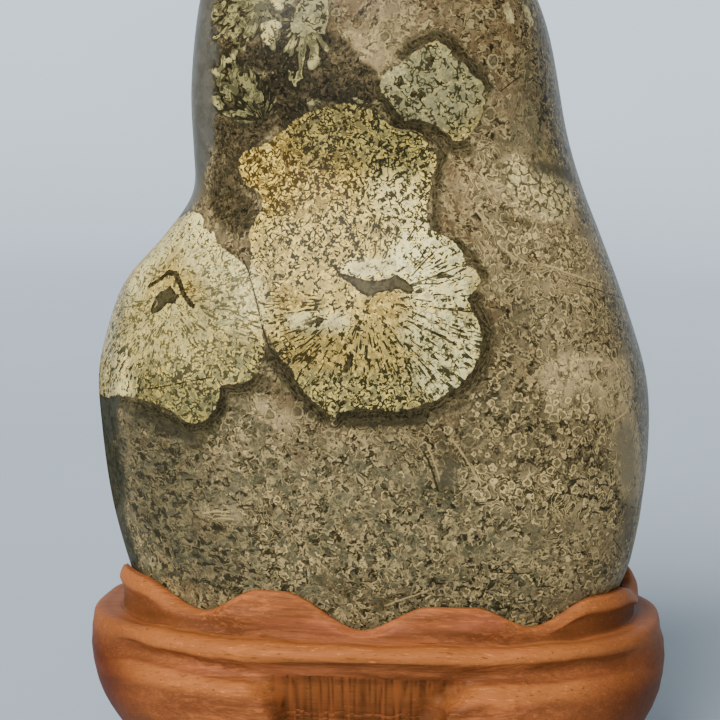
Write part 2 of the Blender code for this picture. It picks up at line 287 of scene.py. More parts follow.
# %% The flat map
def run(points, axis):
    """Distance along a grid of points in the given direction, starting from 0."""
    steps = np.linalg.norm(np.diff(points, axis=axis), axis=-1)
    start = np.zeros_like(np.take(steps, [0], axis=axis))
    return np.concatenate([start, np.cumsum(steps, axis=axis)], axis=axis)


WAIST_HEIGHT = 120.0
front = int(np.argmin(np.abs(stone_angle + np.pi / 2)))
waist = int(np.argmin(np.abs(levels - WAIST_HEIGHT)))
ROUND = run(stone_rings, 1)
ROUND = ROUND - ROUND[:, [front]]
UP = run(stone_rings, 0)
UP = UP - UP[[waist]] + levels[waist]
PX, PY = in_photo(stone_rings)
across_skin = np.gradient(stone_rings, axis=1)
up_skin = np.gradient(stone_rings, axis=0)
outward = np.cross(across_skin, up_skin)
outward /= np.linalg.norm(outward, axis=-1)[..., None] + 1e-9
SEEN = np.einsum("ijk,ijk->ij", outward, eye - stone_rings) > 0
seen_pixels = np.stack([PX[SEEN], PY[SEEN]], -1)
seen_places = np.stack([ROUND[SEEN], UP[SEEN]], -1)
print("map: from %.0f to %.0f mm round" % (ROUND.min(), ROUND.max()))


# how near, in pixels, a seen point has to be to count
NEAR_PIXELS = 1.6


def on_map(path):
    """The map places of photo pixels written as "x,y x,y": each is the mean of the seen points near it."""
    places = []
    for pixel in path.split():
        apart = ((seen_pixels - [float(number) for number in pixel.split(",")]) ** 2).sum(1)
        weight = np.exp(-(apart - apart.min()) / (2 * NEAR_PIXELS**2))
        places.append(weight @ seen_places / weight.sum())
    return np.array(places)


# %% Distances on the map
def to_path(path):
    """Distance from every point of the stone to a path of straight pieces, and the side it lies on."""
    nearest = np.full(ROUND.shape, 1e9)
    side = np.ones(ROUND.shape)
    for (ax, ay), (bx, by) in zip(path[:-1], path[1:]):
        dx, dy = bx - ax, by - ay
        along = np.clip(((ROUND - ax) * dx + (UP - ay) * dy) / (dx * dx + dy * dy + 1e-9), 0, 1)
        apart = np.hypot(ROUND - ax - along * dx, UP - ay - along * dy)
        closer = apart < nearest
        nearest = np.where(closer, apart, nearest)
        side = np.where(closer, np.sign(dx * (UP - ay) - dy * (ROUND - ax)), side)
    return nearest, side


def inside(path):
    """Signed distance to a closed outline, in millimetres: positive inside it."""
    closed = np.concatenate([path, path[:1]])
    apart, _ = to_path(closed)
    within = np.zeros(ROUND.shape, bool)
    for (ax, ay), (bx, by) in zip(closed[:-1], closed[1:]):
        spans = (ay > UP) != (by > UP)
        crossing = ax + (UP - ay) * (bx - ax) / (by - ay if by != ay else 1e-9)
        within ^= spans & (ROUND < crossing)
    return np.where(within, apart, -apart)


# the size of a photo pixel on the stone, and a distance beyond every marking
PIXEL_MM, FAR_MM = 0.256, 50.0


def union(shapes):
    """The largest of several signed distances."""
    total = np.full(ROUND.shape, -FAR_MM)
    for shape in shapes:
        total = np.maximum(total, shape)
    return total


def outlines(paths):
    """Signed distance to the union of outlines given in photo pixels."""
    return union(inside(on_map(path)) for path in paths)


def strokes(paths):
    """Signed distance to brush strokes given as (half width, pixels), all in photo pixels."""
    return union(half * PIXEL_MM - to_path(on_map(path))[0] for half, path in paths)


def washes(rows):
    """Weight of soft patches, each written as "half width, fade, strength, pixels": 1 inside, fading to 0."""
    total = np.zeros(ROUND.shape)
    for row in rows.split("; "):
        *numbers, path = row.split(" ", 3)
        half, fade, strength = map(float, numbers)
        apart, _ = to_path(on_map(path))
        total = np.maximum(total, strength * ease((half + fade - apart / PIXEL_MM) / fade))
    return total


# %% [markdown]
# ## The flowers
# The outlines are pixel places read off the photo. The left flower runs on round the side, where the photo
# can't show it, so its far edge is a guess given in map millimetres, as are the flowers on the back. Above
# the main flower stand three small buds, and tufts of thin leaves that run out from middles of their own.

# %% Outlines of the flowers
MAIN_FLOWER = (
    "246,151 258,147 270,142 279,134 286,129 291,122 299,117 313,111 324,108 335,105 345,103 355,104 "
    "366,109 375,110 383,118 390,126 400,131 411,132 420,136 431,147 437,158 436,169 431,180 430,192 "
    "427,202 426,218 431,230 438,234 448,238 458,247 464,256 468,264 477,272 481,281 475,291 467,299 "
    "471,310 478,322 482,334 482,346 478,359 470,374 461,384 449,392 438,399 424,404 410,409 395,411 "
    "378,409 360,408 348,411 338,413 335,419 329,420 325,412 316,403 304,392 297,381 291,369 282,360 "
    "275,348 267,334 262,316 258,300 253,283 250,262 252,245 248,235 253,224 260,212 263,201 259,192 "
    "248,186 242,177 238,167 240,156"
)
LEFT_FLOWER = (
    "179,219 189,212 200,213 204,220 203,228 214,232 217,243 226,251 237,258 245,266 250,277 256,294 "
    "260,316 264,340 264,355 257,372 248,382 233,384 221,384 219,397 216,408 206,420 195,424 184,420 "
    "170,410 150,402 136,397 120,395 108,397"
)
LEFT_FLOWER_BEYOND = ((-91, 99), (-103, 104), (-111, 118), (-110, 134), (-103, 146), (-90, 152), (-74, 153))
RIGHT_FLOWER = (
    "380,84 383,76 391,68 400,66 402,60 410,60 412,52 420,50 426,44 437,40 445,45 452,52 452,60 461,60 "
    "467,68 472,76 481,80 486,92 485,104 481,116 475,127 470,135 463,140 455,141 446,132 436,125 427,121 "
    "416,119 405,121 397,111 388,99 381,92"
)
BUDS = (
    "292,14 300,2 308,-14 322,-14 328,0 328,22 324,34 314,32 306,36 296,38 290,28",
    "269,-4 274,-12 290,-14 297,-2 288,9 276,10",
    "259,24 268,21 278,20 283,24 275,32 273,44 266,46 261,36",
)
TUFTS = (
    "222,-20 232,-18 268,-16 271,2 268,14 278,20 282,27 274,40 268,45 261,36 254,30 246,42 240,44 236,32 "
    "226,34 217,36 216,20",
    "296,30 316,28 322,44 312,56 300,76 295,84 290,56",
    "218,66 228,58 240,76 254,78 262,92 270,106 258,110 246,114 232,110 220,108",
)
# middle round and up on the map in millimetres, radius, start of the lobes in radians
BACK_FLOWERS = ((128, 150, 17, 0.4), (122, 92, 21, 1.9), (-146, 108, 19, 3.0), (-140, 176, 14, 4.4))


def blossom(middle_round, middle_up, size, start):
    """Signed distance to a lobed round flower: a circle whose radius swells and shrinks five ways."""
    dx, dy = ROUND - middle_round, UP - middle_up
    turned = np.arctan2(dy, dx)
    edge = size * (1 + 0.13 * np.sin(2 * turned + start) + 0.08 * np.sin(5 * turned + 2.3 * start))
    return edge - np.hypot(dx, dy)


main_inside = outlines([MAIN_FLOWER])
left_path = np.concatenate([on_map(LEFT_FLOWER), LEFT_FLOWER_BEYOND])
left_inside = inside(left_path)
right_inside = outlines([RIGHT_FLOWER])
tuft_inside = outlines(TUFTS)
back_inside = union(blossom(*one) for one in BACK_FLOWERS)
smooth_flowers = union([main_inside, left_inside, right_inside, back_inside, outlines(BUDS)])
keep(stone, "flower", smooth_flowers)
keep(stone, "tuft", tuft_inside)
print("pale flowers cover %.0f%% of the map" % (100 * (smooth_flowers > 0).mean()))

# %% [markdown]
# ## Washes, inks and lines
# The rock round the flowers changes from tan to khaki and to nearly black. These broad changes are soft
# washes along short paths. The few markings that catch the eye from a step away, such as the dark mouth in
# the middle of the main flower, are outlines or brush strokes of their own.

# %% Washes
# Each wash is a set of soft strokes with semicolons between them. A stroke is its half width, fade and
# strength, and then the photo pixels it runs through.
WASHES = {
    "ochre": (
        "14 30 1 258,166 285,160 280,188; 16 26 0.8 300,185 330,175; 8 24 0.6 300,130 345,116; "
        "4 12 0.55 282,296 296,304; 6 18 0.6 380,302 400,312; 8 24 0.4 300,340 330,356; "
        "5 8 0.5 472,270 476,284; 6 10 0.4 190,280 200,290"
    ),
    "bleach": (
        "18 26 1 420,255 450,262 440,285; 14 26 0.9 430,325 460,345 440,375; 10 26 0.6 395,190 415,215; "
        "5 8 0.8 352,268 384,268; 5 10 0.6 296,322 340,322; 14 30 0.7 190,225 225,270 236,310; "
        "10 20 0.7 130,300 150,265 170,240; 26 16 0.8 415,95 445,85; 30 24 0.5 112,330 116,380; "
        "18 10 0.6 270,32 310,10 322,20; 24 26 0.4 150,330 220,345 190,385"
    ),
    "loops": (
        "36 10 1 415,85 445,90; 22 10 1 308,12 316,20"
    ),
    "fan": (
        "13 12 1 372,238 392,236"
    ),
    "khaki": (
        "60 50 1 150,520 330,530 470,560; 16 30 0.8 140,450 250,440; 12 24 0.7 245,90 240,110; "
        "10 20 0.8 520,100 525,130; 10 20 0.6 540,300 530,335; 10 20 0.5 500,400 510,440; "
        "10 16 0.8 614,430 620,470"
    ),
    "blush": (
        "26 26 1 350,20 420,8 490,20; 12 20 1 350,50 380,50; 8 16 0.8 500,40 512,90 505,110; "
        "14 16 0.9 458,165 452,200 462,235; 8 14 0.6 486,310 496,350; 14 20 0.6 600,560 615,590; "
        "8 14 0.5 430,430 450,450; 6 12 0.8 170,586 220,600; 8 14 0.6 200,520 216,524"
    ),
    "night": (
        "14 16 1 300,72 330,78 356,84; 10 14 1 276,92 288,110; 7 10 1 262,54 285,60; "
        "8 16 0.7 330,46 345,60; 14 20 0.6 222,125 240,140 222,190 238,215; "
        "8 12 0.6 268,118 250,136 232,160; 8 14 0.6 214,56 236,56; 6 10 0.6 240,200 232,224; "
        "5 8 1 288,20 286,50 312,66; 5 8 0.9 226,50 250,56 268,62"
    ),
    "dusk": (
        "3 7 0.9 378,88 388,104 400,118; 4 7 1 398,124 425,128 448,144 464,150; "
        "3 8 0.7 402,52 420,38 440,36 462,50 488,84; 2 8 0.7 442,155 438,200 437,226; "
        "2 8 0.6 456,240 476,262 488,280; 4 9 0.8 474,300 486,320 490,345 482,368; "
        "5 10 0.9 476,376 452,402 430,412; 5 7 1 415,417 375,418 346,418; "
        "3 9 0.8 320,418 300,398 280,368 270,356; 5 8 0.9 226,390 262,384; "
        "4 9 0.9 222,402 208,430 184,432 150,414 118,402; 3 12 0.8 190,442 200,438; "
        "4 12 0.55 440,432 446,470 442,490; 3 10 0.65 530,166 570,176; 2 8 0.6 506,220 528,224; "
        "2 8 0.6 500,160 505,182; 8 18 0.4 500,290 520,310 505,340; 4 8 0.6 338,586 352,594 322,580; "
        "4 10 0.6 380,606 410,596"
    ),
    # painted dark reflection: the lower left edge mirrors the dark green surroundings
    "slate": (
        "42 26 1 102,404 103,440 107,470; 26 24 0.9 110,500 120,540 132,572"
    ),
    # painted reflection: the grey sheen of the polished face along the upper left edge and at the left
    # flower's outer edge
    "satin": (
        "27 20 1 198,-30 198,60 197,140; 16 18 0.8 197,140 190,200; 44 24 1 103,310 101,350 101,390"
    ),
    "faint": (
        "50 20 0.45 140,290 200,300 190,380"
    ),
    "rings": (
        "42 30 1 500,442 570,450; 16 24 0.8 510,240 580,245; 22 30 0.45 520,300 560,340 600,330; "
        "10 20 0.6 480,380 500,360; 10 16 0.6 580,290 600,240; 60 60 0.35 330,520 560,550; "
        "14 20 0.8 520,180 570,205"
    ),
    "dense": (
        "50 30 1 300,165 350,150 390,180 330,190; 14 12 1 330,396 400,398; 20 20 0.6 300,215 400,215; "
        "26 20 0.8 170,400 225,372; 16 20 0.5 220,250 235,300; 20 20 0.5 420,80 440,120"
    ),
    "olive": (
        "16 16 1 320,394 400,400; 16 20 0.8 395,130 412,150; 20 24 1 150,385 200,405 235,372; "
        "14 30 0.7 330,120 380,130; 10 20 0.5 200,318 225,330; 30 20 0.5 410,80 450,110"
    ),
    "crackle": (
        "30 20 1 440,345 450,375; 16 16 0.7 275,260 270,320; 24 20 0.6 210,270 240,310"
    ),
    "smear": (
        "40 40 1 150,470 220,540; 12 16 0.9 490,490 600,495; 14 20 0.8 420,596 500,604; "
        "10 16 0.6 540,60 545,120"
    ),
    "bare": (
        "6 12 0.9 200,-20 202,100 200,190; 5 12 0.9 108,430 112,500 126,550; 10 14 0.8 625,440 628,470; "
        "6 12 0.7 632,500 622,540; 4 10 0.7 538,168 568,178; 6 10 0.7 446,476 450,468; "
        "4 8 0.6 128,414 190,438; 12 20 0.4 520,100 530,130; 40 40 0.3 150,470 200,530"
    ),
    "shade": (
        "26 26 1 320,128 385,138; 34 24 0.6 310,370 400,372; 20 16 0.5 430,360 460,372; "
        "20 20 0.6 130,320 200,320; 20 20 0.6 150,360 235,360; 16 16 1 150,398 205,405; "
        "30 16 0.5 412,85 450,95; 16 16 0.7 232,10 256,25; 18 12 1 236,85 252,100; "
        "16 14 0.6 270,70 290,90; 40 40 0.5 150,470 190,540; 8 10 0.8 140,420 190,428; "
        "44 20 0.45 160,260 190,300 200,350; 6 8 1 345,420 420,419; 30 20 0.35 480,250 500,330 490,360; "
        "50 40 0.4 470,440 560,460; 50 40 0.25 400,550 540,560; 20 10 0.6 308,4 316,24; "
        "26 20 0.35 380,20 480,20"
    ),
    "contours": (
        "30 24 0.9 500,250 590,290; 16 20 1 480,490 600,498; 10 14 0.8 600,420 612,470; "
        "10 14 0.8 484,380 498,330; 14 20 0.6 220,515 300,530; 14 20 0.8 476,160 500,220; "
        "16 20 0.6 560,340 610,380; 20 20 0.5 400,590 500,596; 10 16 0.6 300,446 370,436; "
        "12 16 0.6 428,450 476,470"
    ),
    "cells": (
        "9 10 1 514,172 528,196 560,206; 7 8 0.8 536,176 566,196"
    ),
    "lit": (
        "24 14 1 568,384 618,388; 18 14 1 516,180 530,196 564,204; 6 14 0.5 520,488 570,498; "
        "5 10 0.7 262,410 286,420; 5 10 0.5 488,150 476,200; 4 8 0.6 200,510 236,514; "
        "8 20 0.4 470,185 490,230; 10 16 0.4 380,20 420,30; 26 30 0.5 515,255 590,265; "
        "30 30 0.3 560,320 600,360; 20 20 0.8 622,430 634,475; 30 24 0.25 540,530 600,560; "
        "12 16 0.7 490,490 600,494; 16 14 0.8 350,52 385,55; 14 20 0.2 505,110 535,140"
    ),
}
WASH_WEIGHTS = {name: washes(paths) for name, paths in WASHES.items()}
for name, weight in WASH_WEIGHTS.items():
    keep(stone, name, weight)
    print("wash %-7s mean %.3f" % (name, weight.mean()))

# %% Inks and chalks
INK_OUTLINES = (
    "330,262 336,265 342,273 352,276 362,279 374,281 388,279 396,274 404,279 412,285 415,289 411,294 "
    "404,292 398,289 388,291 378,293 368,297 360,292 352,285 344,280 336,272",
    "154,300 158,293 166,289 171,285 174,291 178,296 175,304 167,303 163,309 153,315 150,311",
    "337,404 343,400 347,399 346,404 339,407",
    "314,313 318,316 326,319 321,324 315,328 316,321",
    "344,366 349,356 351,350 354,356 352,366 346,373 341,372",
    "412,89 417,92 415,98 410,97",
    "424,58 432,57 437,62 428,63",
    "332,528 338,534 344,540 338,543",
)
INK_STROKES = (
    (2.2, "149,286 158,281 168,273"), (3.2, "168,272 176,274 180,284"), (3.0, "180,284 185,296 193,306"),
)
CHALK_OUTLINES = (
    "350,266 358,260 364,258 370,264 378,261 388,262 391,268 384,275 374,274 362,274 355,271",
    "290,322 297,315 308,314 313,320 306,329 297,331",
    "328,318 336,313 346,318 350,326 340,330 331,329",
    "350,99 356,98 366,101 368,104 356,103",
    "306,104 312,99 320,101 314,106",
    "502,4 508,2 514,16 514,26 507,22",
    "522,4 528,6 534,24 530,28 525,16",
    "504,352 511,353 508,359 504,358",
)
keep(stone, "ink", union([outlines(INK_OUTLINES), strokes(INK_STROKES)]))
keep(stone, "chalk", outlines(CHALK_OUTLINES))
print(len(INK_OUTLINES) + len(INK_STROKES), "inks and", len(CHALK_OUTLINES), "chalks")


# %% [markdown]
# Each growth has a middle that its streaks run out from. The streak pattern is kept as two numbers per
# point: which way it lies from its own middle, and how far.

# %% Streak directions
MAIN_MIDDLE, LEFT_MIDDLE = on_map("366,300 172,300")
TUFT_MIDDLES = "266,2 304,20 264,122"


def streaks(middle):
    """Direction (as a unit vector) and distance from a flower's middle, on the map."""
    dx, dy = ROUND - middle[0], UP - middle[1]
    far = np.hypot(dx, dy) + 1e-6
    return dx / far, dy / far, far


use_left = left_inside > main_inside
main_way, left_way = streaks(MAIN_MIDDLE), streaks(LEFT_MIDDLE)
way_x, way_y, far = (np.where(use_left, b, a) for a, b in zip(main_way, left_way))
for middle, tuft in zip(on_map(TUFT_MIDDLES), TUFTS):
    here = inside(on_map(tuft)) > -4.0
    way_x, way_y, far = (np.where(here, own, old) for own, old in zip(streaks(middle), (way_x, way_y, far)))
keep(stone, "way_x", way_x)
keep(stone, "way_y", way_y)
keep(stone, "far", far)
steepest = 0.20 + 0.55 * np.clip(way_x, 0, 1)
streaky = ease((steepest - way_y) / 0.30) * ease((far - 4.0) / 3.0) * np.where(use_left, 0.75, 1.0)
streaky *= 1 - 0.8 * WASH_WEIGHTS["dense"]
streaky = np.maximum(streaky, WASH_WEIGHTS["fan"])
keep(stone, "streaky", streaky)
print("streaks cover %.0f%% of the map" % (100 * (streaky > 0.5).mean()))

# %% [markdown]
# A crack thinner than the mesh's own step still draws sharply if each point knows how far to one side of
# the crack it lies: the finish then finds the place between two points where that number passes zero.

# %% Cracks and veins
CRACKS = (
    (0.8, "241,256 248,270 252,285 257,303 261,322 266,338 270,350"),
    (0.6, "573,283 590,287 608,294 622,299"), (0.6, "500,92 512,82 527,71"),
    (0.5, "262,318 280,315 300,311 330,307"), (0.9, "368,165 378,160 392,158"),
    (0.6, "490,572 520,574 534,572"), (1.2, "426,329 440,336 458,346"),
    (0.8, "408,286 424,280 440,274 460,266"), (0.9, "410,278 424,262 434,252"),
    (0.7, "414,284 430,284 446,282"), (0.7, "412,270 422,256 428,246"), (0.8, "448,326 462,331 476,332"),
    (0.9, "404,358 408,370 412,382"), (0.7, "148,389 166,386 196,380 216,377"),
    (1.0, "420,446 428,460 434,476 438,492"), (0.8, "298,350 312,338 320,333"),
    (1.2, "343,262 350,256 356,253"), (0.9, "512,530 526,534"), (0.9, "536,587 552,586"),
    (0.9, "384,240 388,250 384,260"), (0.9, "374,242 376,252 372,260"), (0.8, "400,74 404,84 412,84"),
    (0.8, "426,108 420,100 424,92 431,92"), (0.8, "448,112 456,98 462,84"), (0.8, "432,76 440,84 448,82"),
    (0.7, "404,108 412,104 414,112"), (0.7, "392,84 400,86 402,80"), (0.8, "450,62 458,72 456,82"),
    (0.9, "184,480 196,479"), (0.9, "236,506 256,505"), (0.9, "330,462 344,463"), (0.8, "624,504 634,508"),
    (0.7, "612,537 622,553"),
)
VEINS = (
    (1.0, "632,396 626,412 612,422 600,430 597,446 602,462"), (0.8, "452,440 462,452 472,470 482,486"),
    (0.8, "424,440 432,456 438,474 441,486"), (0.8, "430,590 400,600 384,606"),
    (0.7, "386,126 400,130 414,131 424,136"), (0.9, "474,208 488,226 500,246 520,262 560,268"),
    (0.7, "540,262 570,274 610,288"), (0.8, "480,170 488,190 500,206"), (0.9, "200,514 216,511 236,513"),
    (0.8, "206,520 222,518 240,520"), (0.8, "178,240 182,232 190,229"), (0.8, "152,296 158,303 153,309"),
)


def fine_lines(lines):
    """Signed distance across the nearest line, and how far a point is within its half width and ends."""
    across = np.full(ROUND.shape, FAR_MM)
    reach = np.full(ROUND.shape, -1.0)
    for half, pixels in lines:
        path = on_map(pixels)
        apart, side = to_path(path)
        first, last = (np.hypot(ROUND - x, UP - y) for x, y in (path[0], path[-1]))
        near_end = np.minimum(first, last)
        closer = apart < np.abs(across)
        across = np.where(closer, apart * side, across)
        reach = np.where(closer, np.where(near_end > apart + 0.02, half * PIXEL_MM, -0.4), reach)
    return across, reach


for name, lines in (("crack", CRACKS), ("vein", VEINS)):
    across, reach = fine_lines(lines)
    keep(stone, name, across)
    keep(stone, name + "_reach", reach)
    print(len(lines), name + "s")

# %% [markdown]
# ## The stand's surface
# The stand is one block of soft orange wood. Its maker first turned the outline, then cut the wavy collar,
# the bead and the cove with gouges, let the cove die out round the ends, and sank a panel between the two
# front lobes and another at the back. The panels keep the upright cuts of a small gouge.


# %% The stand's surface
def rim_height(angle):
    """The height of the collar's wavy rim: crests and troughs, each level at its own angle."""
    angles, heights = np.array(RIM_WAVE).T
    degrees = np.degrees(angle)
    i = np.clip(np.searchsorted(angles, degrees) - 1, 0, len(angles) - 2)
    f = ease((degrees - angles[i]) / (angles[i + 1] - angles[i]))
    return heights[i] + (heights[i + 1] - heights[i]) * f


def stand_outline(angle, offset):
    """The stand's plan outline, this far outside the outline of its seat: (x, y)."""
    x, y = squared(angle, PLAN_SQUARENESS)
    return x * (SEAT_HALF_WIDTH + offset), y * (SEAT_HALF_DEPTH + offset)


def panel_share(x, y, height):
    """1 on the sunk panels between the lobes and 0 on the lobes, whose upper inner corners are rounded."""
    corner = ease((height - CORNER[0]) / (CORNER[1] - CORNER[0]))
    edges = []
    for side in range(2):
        front_edge = FRONT_PANEL_LOW[side] + (FRONT_PANEL_HIGH[side] - FRONT_PANEL_LOW[side]) * corner
        back_edge = BACK_PANEL_LOW[side] + (BACK_PANEL_HIGH[side] - BACK_PANEL_LOW[side]) * corner
        edges.append(np.where(y < 0, front_edge, back_edge))
    left, right = edges
    fade = PANEL_FADE + (CORNER_FADE - PANEL_FADE) * corner
    return ease((x - left) / fade + 0.5) * ease((right - x) / fade + 0.5)


def seat_ring(angle, height, gap):
    """The stone's own outline at a height, grown by the gap."""
    x, y = stone_section(angle, height)
    grown = 1 + gap / np.hypot(x, y)
    return x * grown, y * grown, height + 0 * angle


def plain_end(x):
    """0 where the cove runs and 1 on the plain ends, which start further out on the right."""
    start, end = (np.where(x < 0, PLAIN_LEFT_END[k], PLAIN_RIGHT_END[k]) for k in range(2))
    return ease((np.abs(x) - start) / (end - start))


def stand_rings(angle):
    """The stand's rings from the middle of its seat, over the rim and down to the underside."""
    rim = rim_height(angle)
    level = np.ones_like(angle)
    collar_x, _ = stand_outline(angle, 4.0)
    bevel = ease((np.abs(collar_x) - RIM_BEVEL[0]) / (RIM_BEVEL[1] - RIM_BEVEL[0]))
    floor_x, floor_y, _ = seat_ring(angle, SEAT_FLOOR * level, SEAT_GAP)
    rim_x, rim_y, _ = seat_ring(angle, rim, SEAT_GAP + 0.5)
    lip_x, lip_y = stand_outline(angle, 3.5 + 1.1 * bevel)
    rings = [
        (floor_x * 0.5, floor_y * 0.5, SEAT_FLOOR * level),
        (floor_x * 0.96, floor_y * 0.96, SEAT_FLOOR * level),
        seat_ring(angle, (SEAT_FLOOR + 1.5) * level, SEAT_GAP),
        seat_ring(angle, LEDGE * level, SEAT_GAP),
        seat_ring(angle, rim - 0.6, SEAT_GAP),
        (rim_x, rim_y, rim),
        ((rim_x + lip_x) / 2, (rim_y + lip_y) / 2, rim - 0.3),
        (lip_x, lip_y, rim - 1.5 - 1.6 * bevel),
        (*stand_outline(angle, 3.9 - 0.2 * bevel), LEDGE + 0.45 * (rim - LEDGE)),
        (*stand_outline(angle, 4.3 - 0.6 * bevel), (LEDGE + 0.5) * level),
    ]
    middle_x, middle_y = stand_outline(angle, 8.0 * level)
    end = plain_end(middle_x)
    sag = COVE_SAG * np.exp(-(((middle_x - SAG_MIDDLE) / SAG_SPREAD) ** 2)) * (middle_y < 0)
    for lobe_offset, lobe_height, end_offset, end_height, panel_offset, panel_height in OUTER_RINGS:
        offset = lobe_offset + (end_offset - lobe_offset) * end
        height = lobe_height + (end_height - lobe_height) * end
        panel = panel_share(*stand_outline(angle, offset), height)
        offset += (panel_offset - offset) * panel
        height += (panel_height - height) * panel
        x, y = stand_outline(angle, offset)
        shoulder = end * ease((height - 36.0) / 5.0) * ease((offset - 5.0) / 3.0)
        height -= sag * ease((height - 26.0) / 9.0) * ease((43.0 - height) / 3.0)
        rings.append((x + SHOULDER_SHIFT * shoulder, y, height))
    return np.array([np.stack(np.broadcast_arrays(*ring), -1) for ring in rings])


def between(rings, places):
    """Rings at fractional places between the given ones, by a Catmull-Rom curve through them."""
    i = np.clip(places.astype(int), 0, len(rings) - 2)
    f = (places - i)[:, None, None]
    before, after = np.clip(i - 1, 0, None), np.clip(i + 2, None, len(rings) - 1)
    a, b, c, d = rings[before], rings[i], rings[i + 1], rings[after]
    return 0.5 * (2 * b + (c - a) * f + (2 * a - 5 * b + 4 * c - d) * f**2 + (3 * b - a - 3 * c + d) * f**3)


STAND_AROUND = 520
# How many fine rings stand between each pair of the rough ones: most where the photo looks.
FINE_RINGS = [
    2, 2, 2, 3, 2, 4, 5, 6, 5, 4, 5, 4, 4, 5, 5, 5, 5, 5, 6, 8, 9, 12, 12, 10, 8, 5, 4, 3, 2, 2, 2, 2,
]
stand_turn = np.linspace(-1.5 * np.pi, 0.5 * np.pi, STAND_AROUND, endpoint=False)
stand_angle = stand_turn + 0.12 * np.sin(2 * stand_turn) - 0.18 * np.cos(stand_turn)
stand_angle = (stand_angle + 1.1 * np.pi) % (2 * np.pi) - 1.1 * np.pi
rough = stand_rings(stand_angle)
places = np.concatenate([[0.0]] + [i + np.arange(1, n + 1) / n for i, n in enumerate(FINE_RINGS)])
stand_skin = between(rough, places)
print("stand grid:", stand_skin.shape, "rough rings:", len(rough))


# %% Tool marks on the stand
def shift_out(points, amount):
    """Moves points along the skin's outward normal by an amount in millimetres."""
    normal = np.cross(np.gradient(points, axis=1), np.gradient(points, axis=0))
    normal /= np.linalg.norm(normal, axis=-1)[..., None] + 1e-9
    return points - normal * amount[..., None]


GOUGE_STEP, GOUGE_DEPTH, GOUGES = 1.20, 0.24, 400
# a notch at the panel's right edge: its middle, spread and depth
SCOOP_X, SCOOP_Y, SCOOP_Z, SCOOP_SPREAD, SCOOP_DEPTH = 20.5, -43.0, 26.0, 3.0, 2.4
x, y, z = np.moveaxis(stand_skin, -1, 0)
outer = ease((places - 5.5) / 1.0)[:, None] * ease((27.5 - places) / 1.5)[:, None]
below_cove = ease((36.4 - z) / 0.8) * outer
panel_here = panel_share(x, y, z) * below_cove
scoop = (x - SCOOP_X) ** 2 + (y - SCOOP_Y) ** 2 + (0.8 * (z - SCOOP_Z)) ** 2
scoop = np.exp(-scoop / (2 * SCOOP_SPREAD**2))
fluted = ease((panel_here - 0.55) / 0.35) * (1 - ease(2.5 * scoop))
gouge = x / GOUGE_STEP + 0.45 * np.sin(x * 0.9 + 0.7) + 0.25 * np.sin(x * 2.1 + z * 0.16)
gouge_random = np.random.default_rng(5).uniform(size=(3, GOUGES))
gouge_number = np.floor(gouge).astype(int) % GOUGES
depth_share, tone_share, stop_share = gouge_random[:, gouge_number]
flutes = np.abs(np.sin(np.pi * gouge))
stop_heights = 26.8 - 0.9 * stop_share
stops = sum(np.exp(-(((z - stop_heights + step) / 0.25) ** 2)) for step in (0.0, 1.5, 3.0))
gouged = GOUGE_DEPTH * (0.5 + depth_share) * (flutes - 0.55) - 0.22 * stops
knife = seeded_waves(stand_skin * (0.6, 1.0, 1.6), 9.0, 14, 3)
facets = 0.17 * np.round(knife * 2.2) / 2.2 + 0.08 * knife + 0.05 * seeded_waves(stand_skin, 3.2, 14, 4)
facets *= 1 - 0.7 * ease((np.abs(x) - 50) / 16)
cut = gouged * fluted + facets * outer * (1 - panel_here) * ease((z - 1.5) / 3.0)
cut -= SCOOP_DEPTH * scoop * outer
stand_skin = shift_out(stand_skin, cut)
stand_skin[..., 2] = np.maximum(stand_skin[..., 2], 0.0)
stand = skin("stand_carved", stand_skin[::-1], (0, 0, UNDERSIDE), (0, 0, SEAT_FLOOR))
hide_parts("stand")
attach(stand, "root")


# %% Wear and painted highlight on the stand, and painted shade
def ring_weight(*peaks):
    """Weight by ring: the largest of several bumps given as (ring, half width, strength)."""
    total = np.zeros(len(places))
    for ring, half, strength in peaks:
        total = np.maximum(total, strength * ease(1.4 - np.abs(places - ring) / half))
    return total[:, None] + 0 * x


# Lighter on the rim, bead and lobe tops: partly real wear, partly painted highlight on faces turned up to the
# light, less at the ends.
wear_and_highlight = ring_weight((5.8, 0.9, 0.5), (10.2, 0.4, 1.0), (11.4, 0.8, 1.0), (13.0, 1.6, 1.0), (19.6, 0.9, 1.0))
wear_and_highlight *= 1 - 0.6 * ease((np.abs(x) - 50) / 14)
wear_and_highlight = np.maximum(wear_and_highlight, ring_weight((6.4, 0.8, 0.9)) * ease((np.abs(x) - RIM_BEVEL[0]) / 14))
ends = plain_end(x)
# Painted shade: the cove, the foot of the collar, the sunk panels (darker low down) and the notch by the
# right lobe.
cove_dark = 0.42 * ring_weight((16.8, 1.5, 1.0)) * (1 - ends)
cove_dark *= 0.25 + 0.75 * ease((40 - np.abs(x - 5)) / 18)
collar_dark = ring_weight((8.7, 1.0, 0.65)) * (1 + 0.5 * ease((np.abs(x) - RIM_BEVEL[0]) / 14))
panel_dark = panel_here * (0.95 + 0.5 * ease((30 - z) / 7))
gloom = ease((np.abs(x + 1) - 48) / 26) * ease((46 - z) / 16) * np.where(x < 0, 1.35, 0.6)
gloom += 0.4 * ease((22 - z) / 16) + 0.12 * ease((34 - z) / 6)
keep(stand, "wear_and_highlight", wear_and_highlight[::-1])
keep(stand, "shaded", np.maximum.reduce([cove_dark, collar_dark, panel_dark, 1.3 * scoop * outer])[::-1])
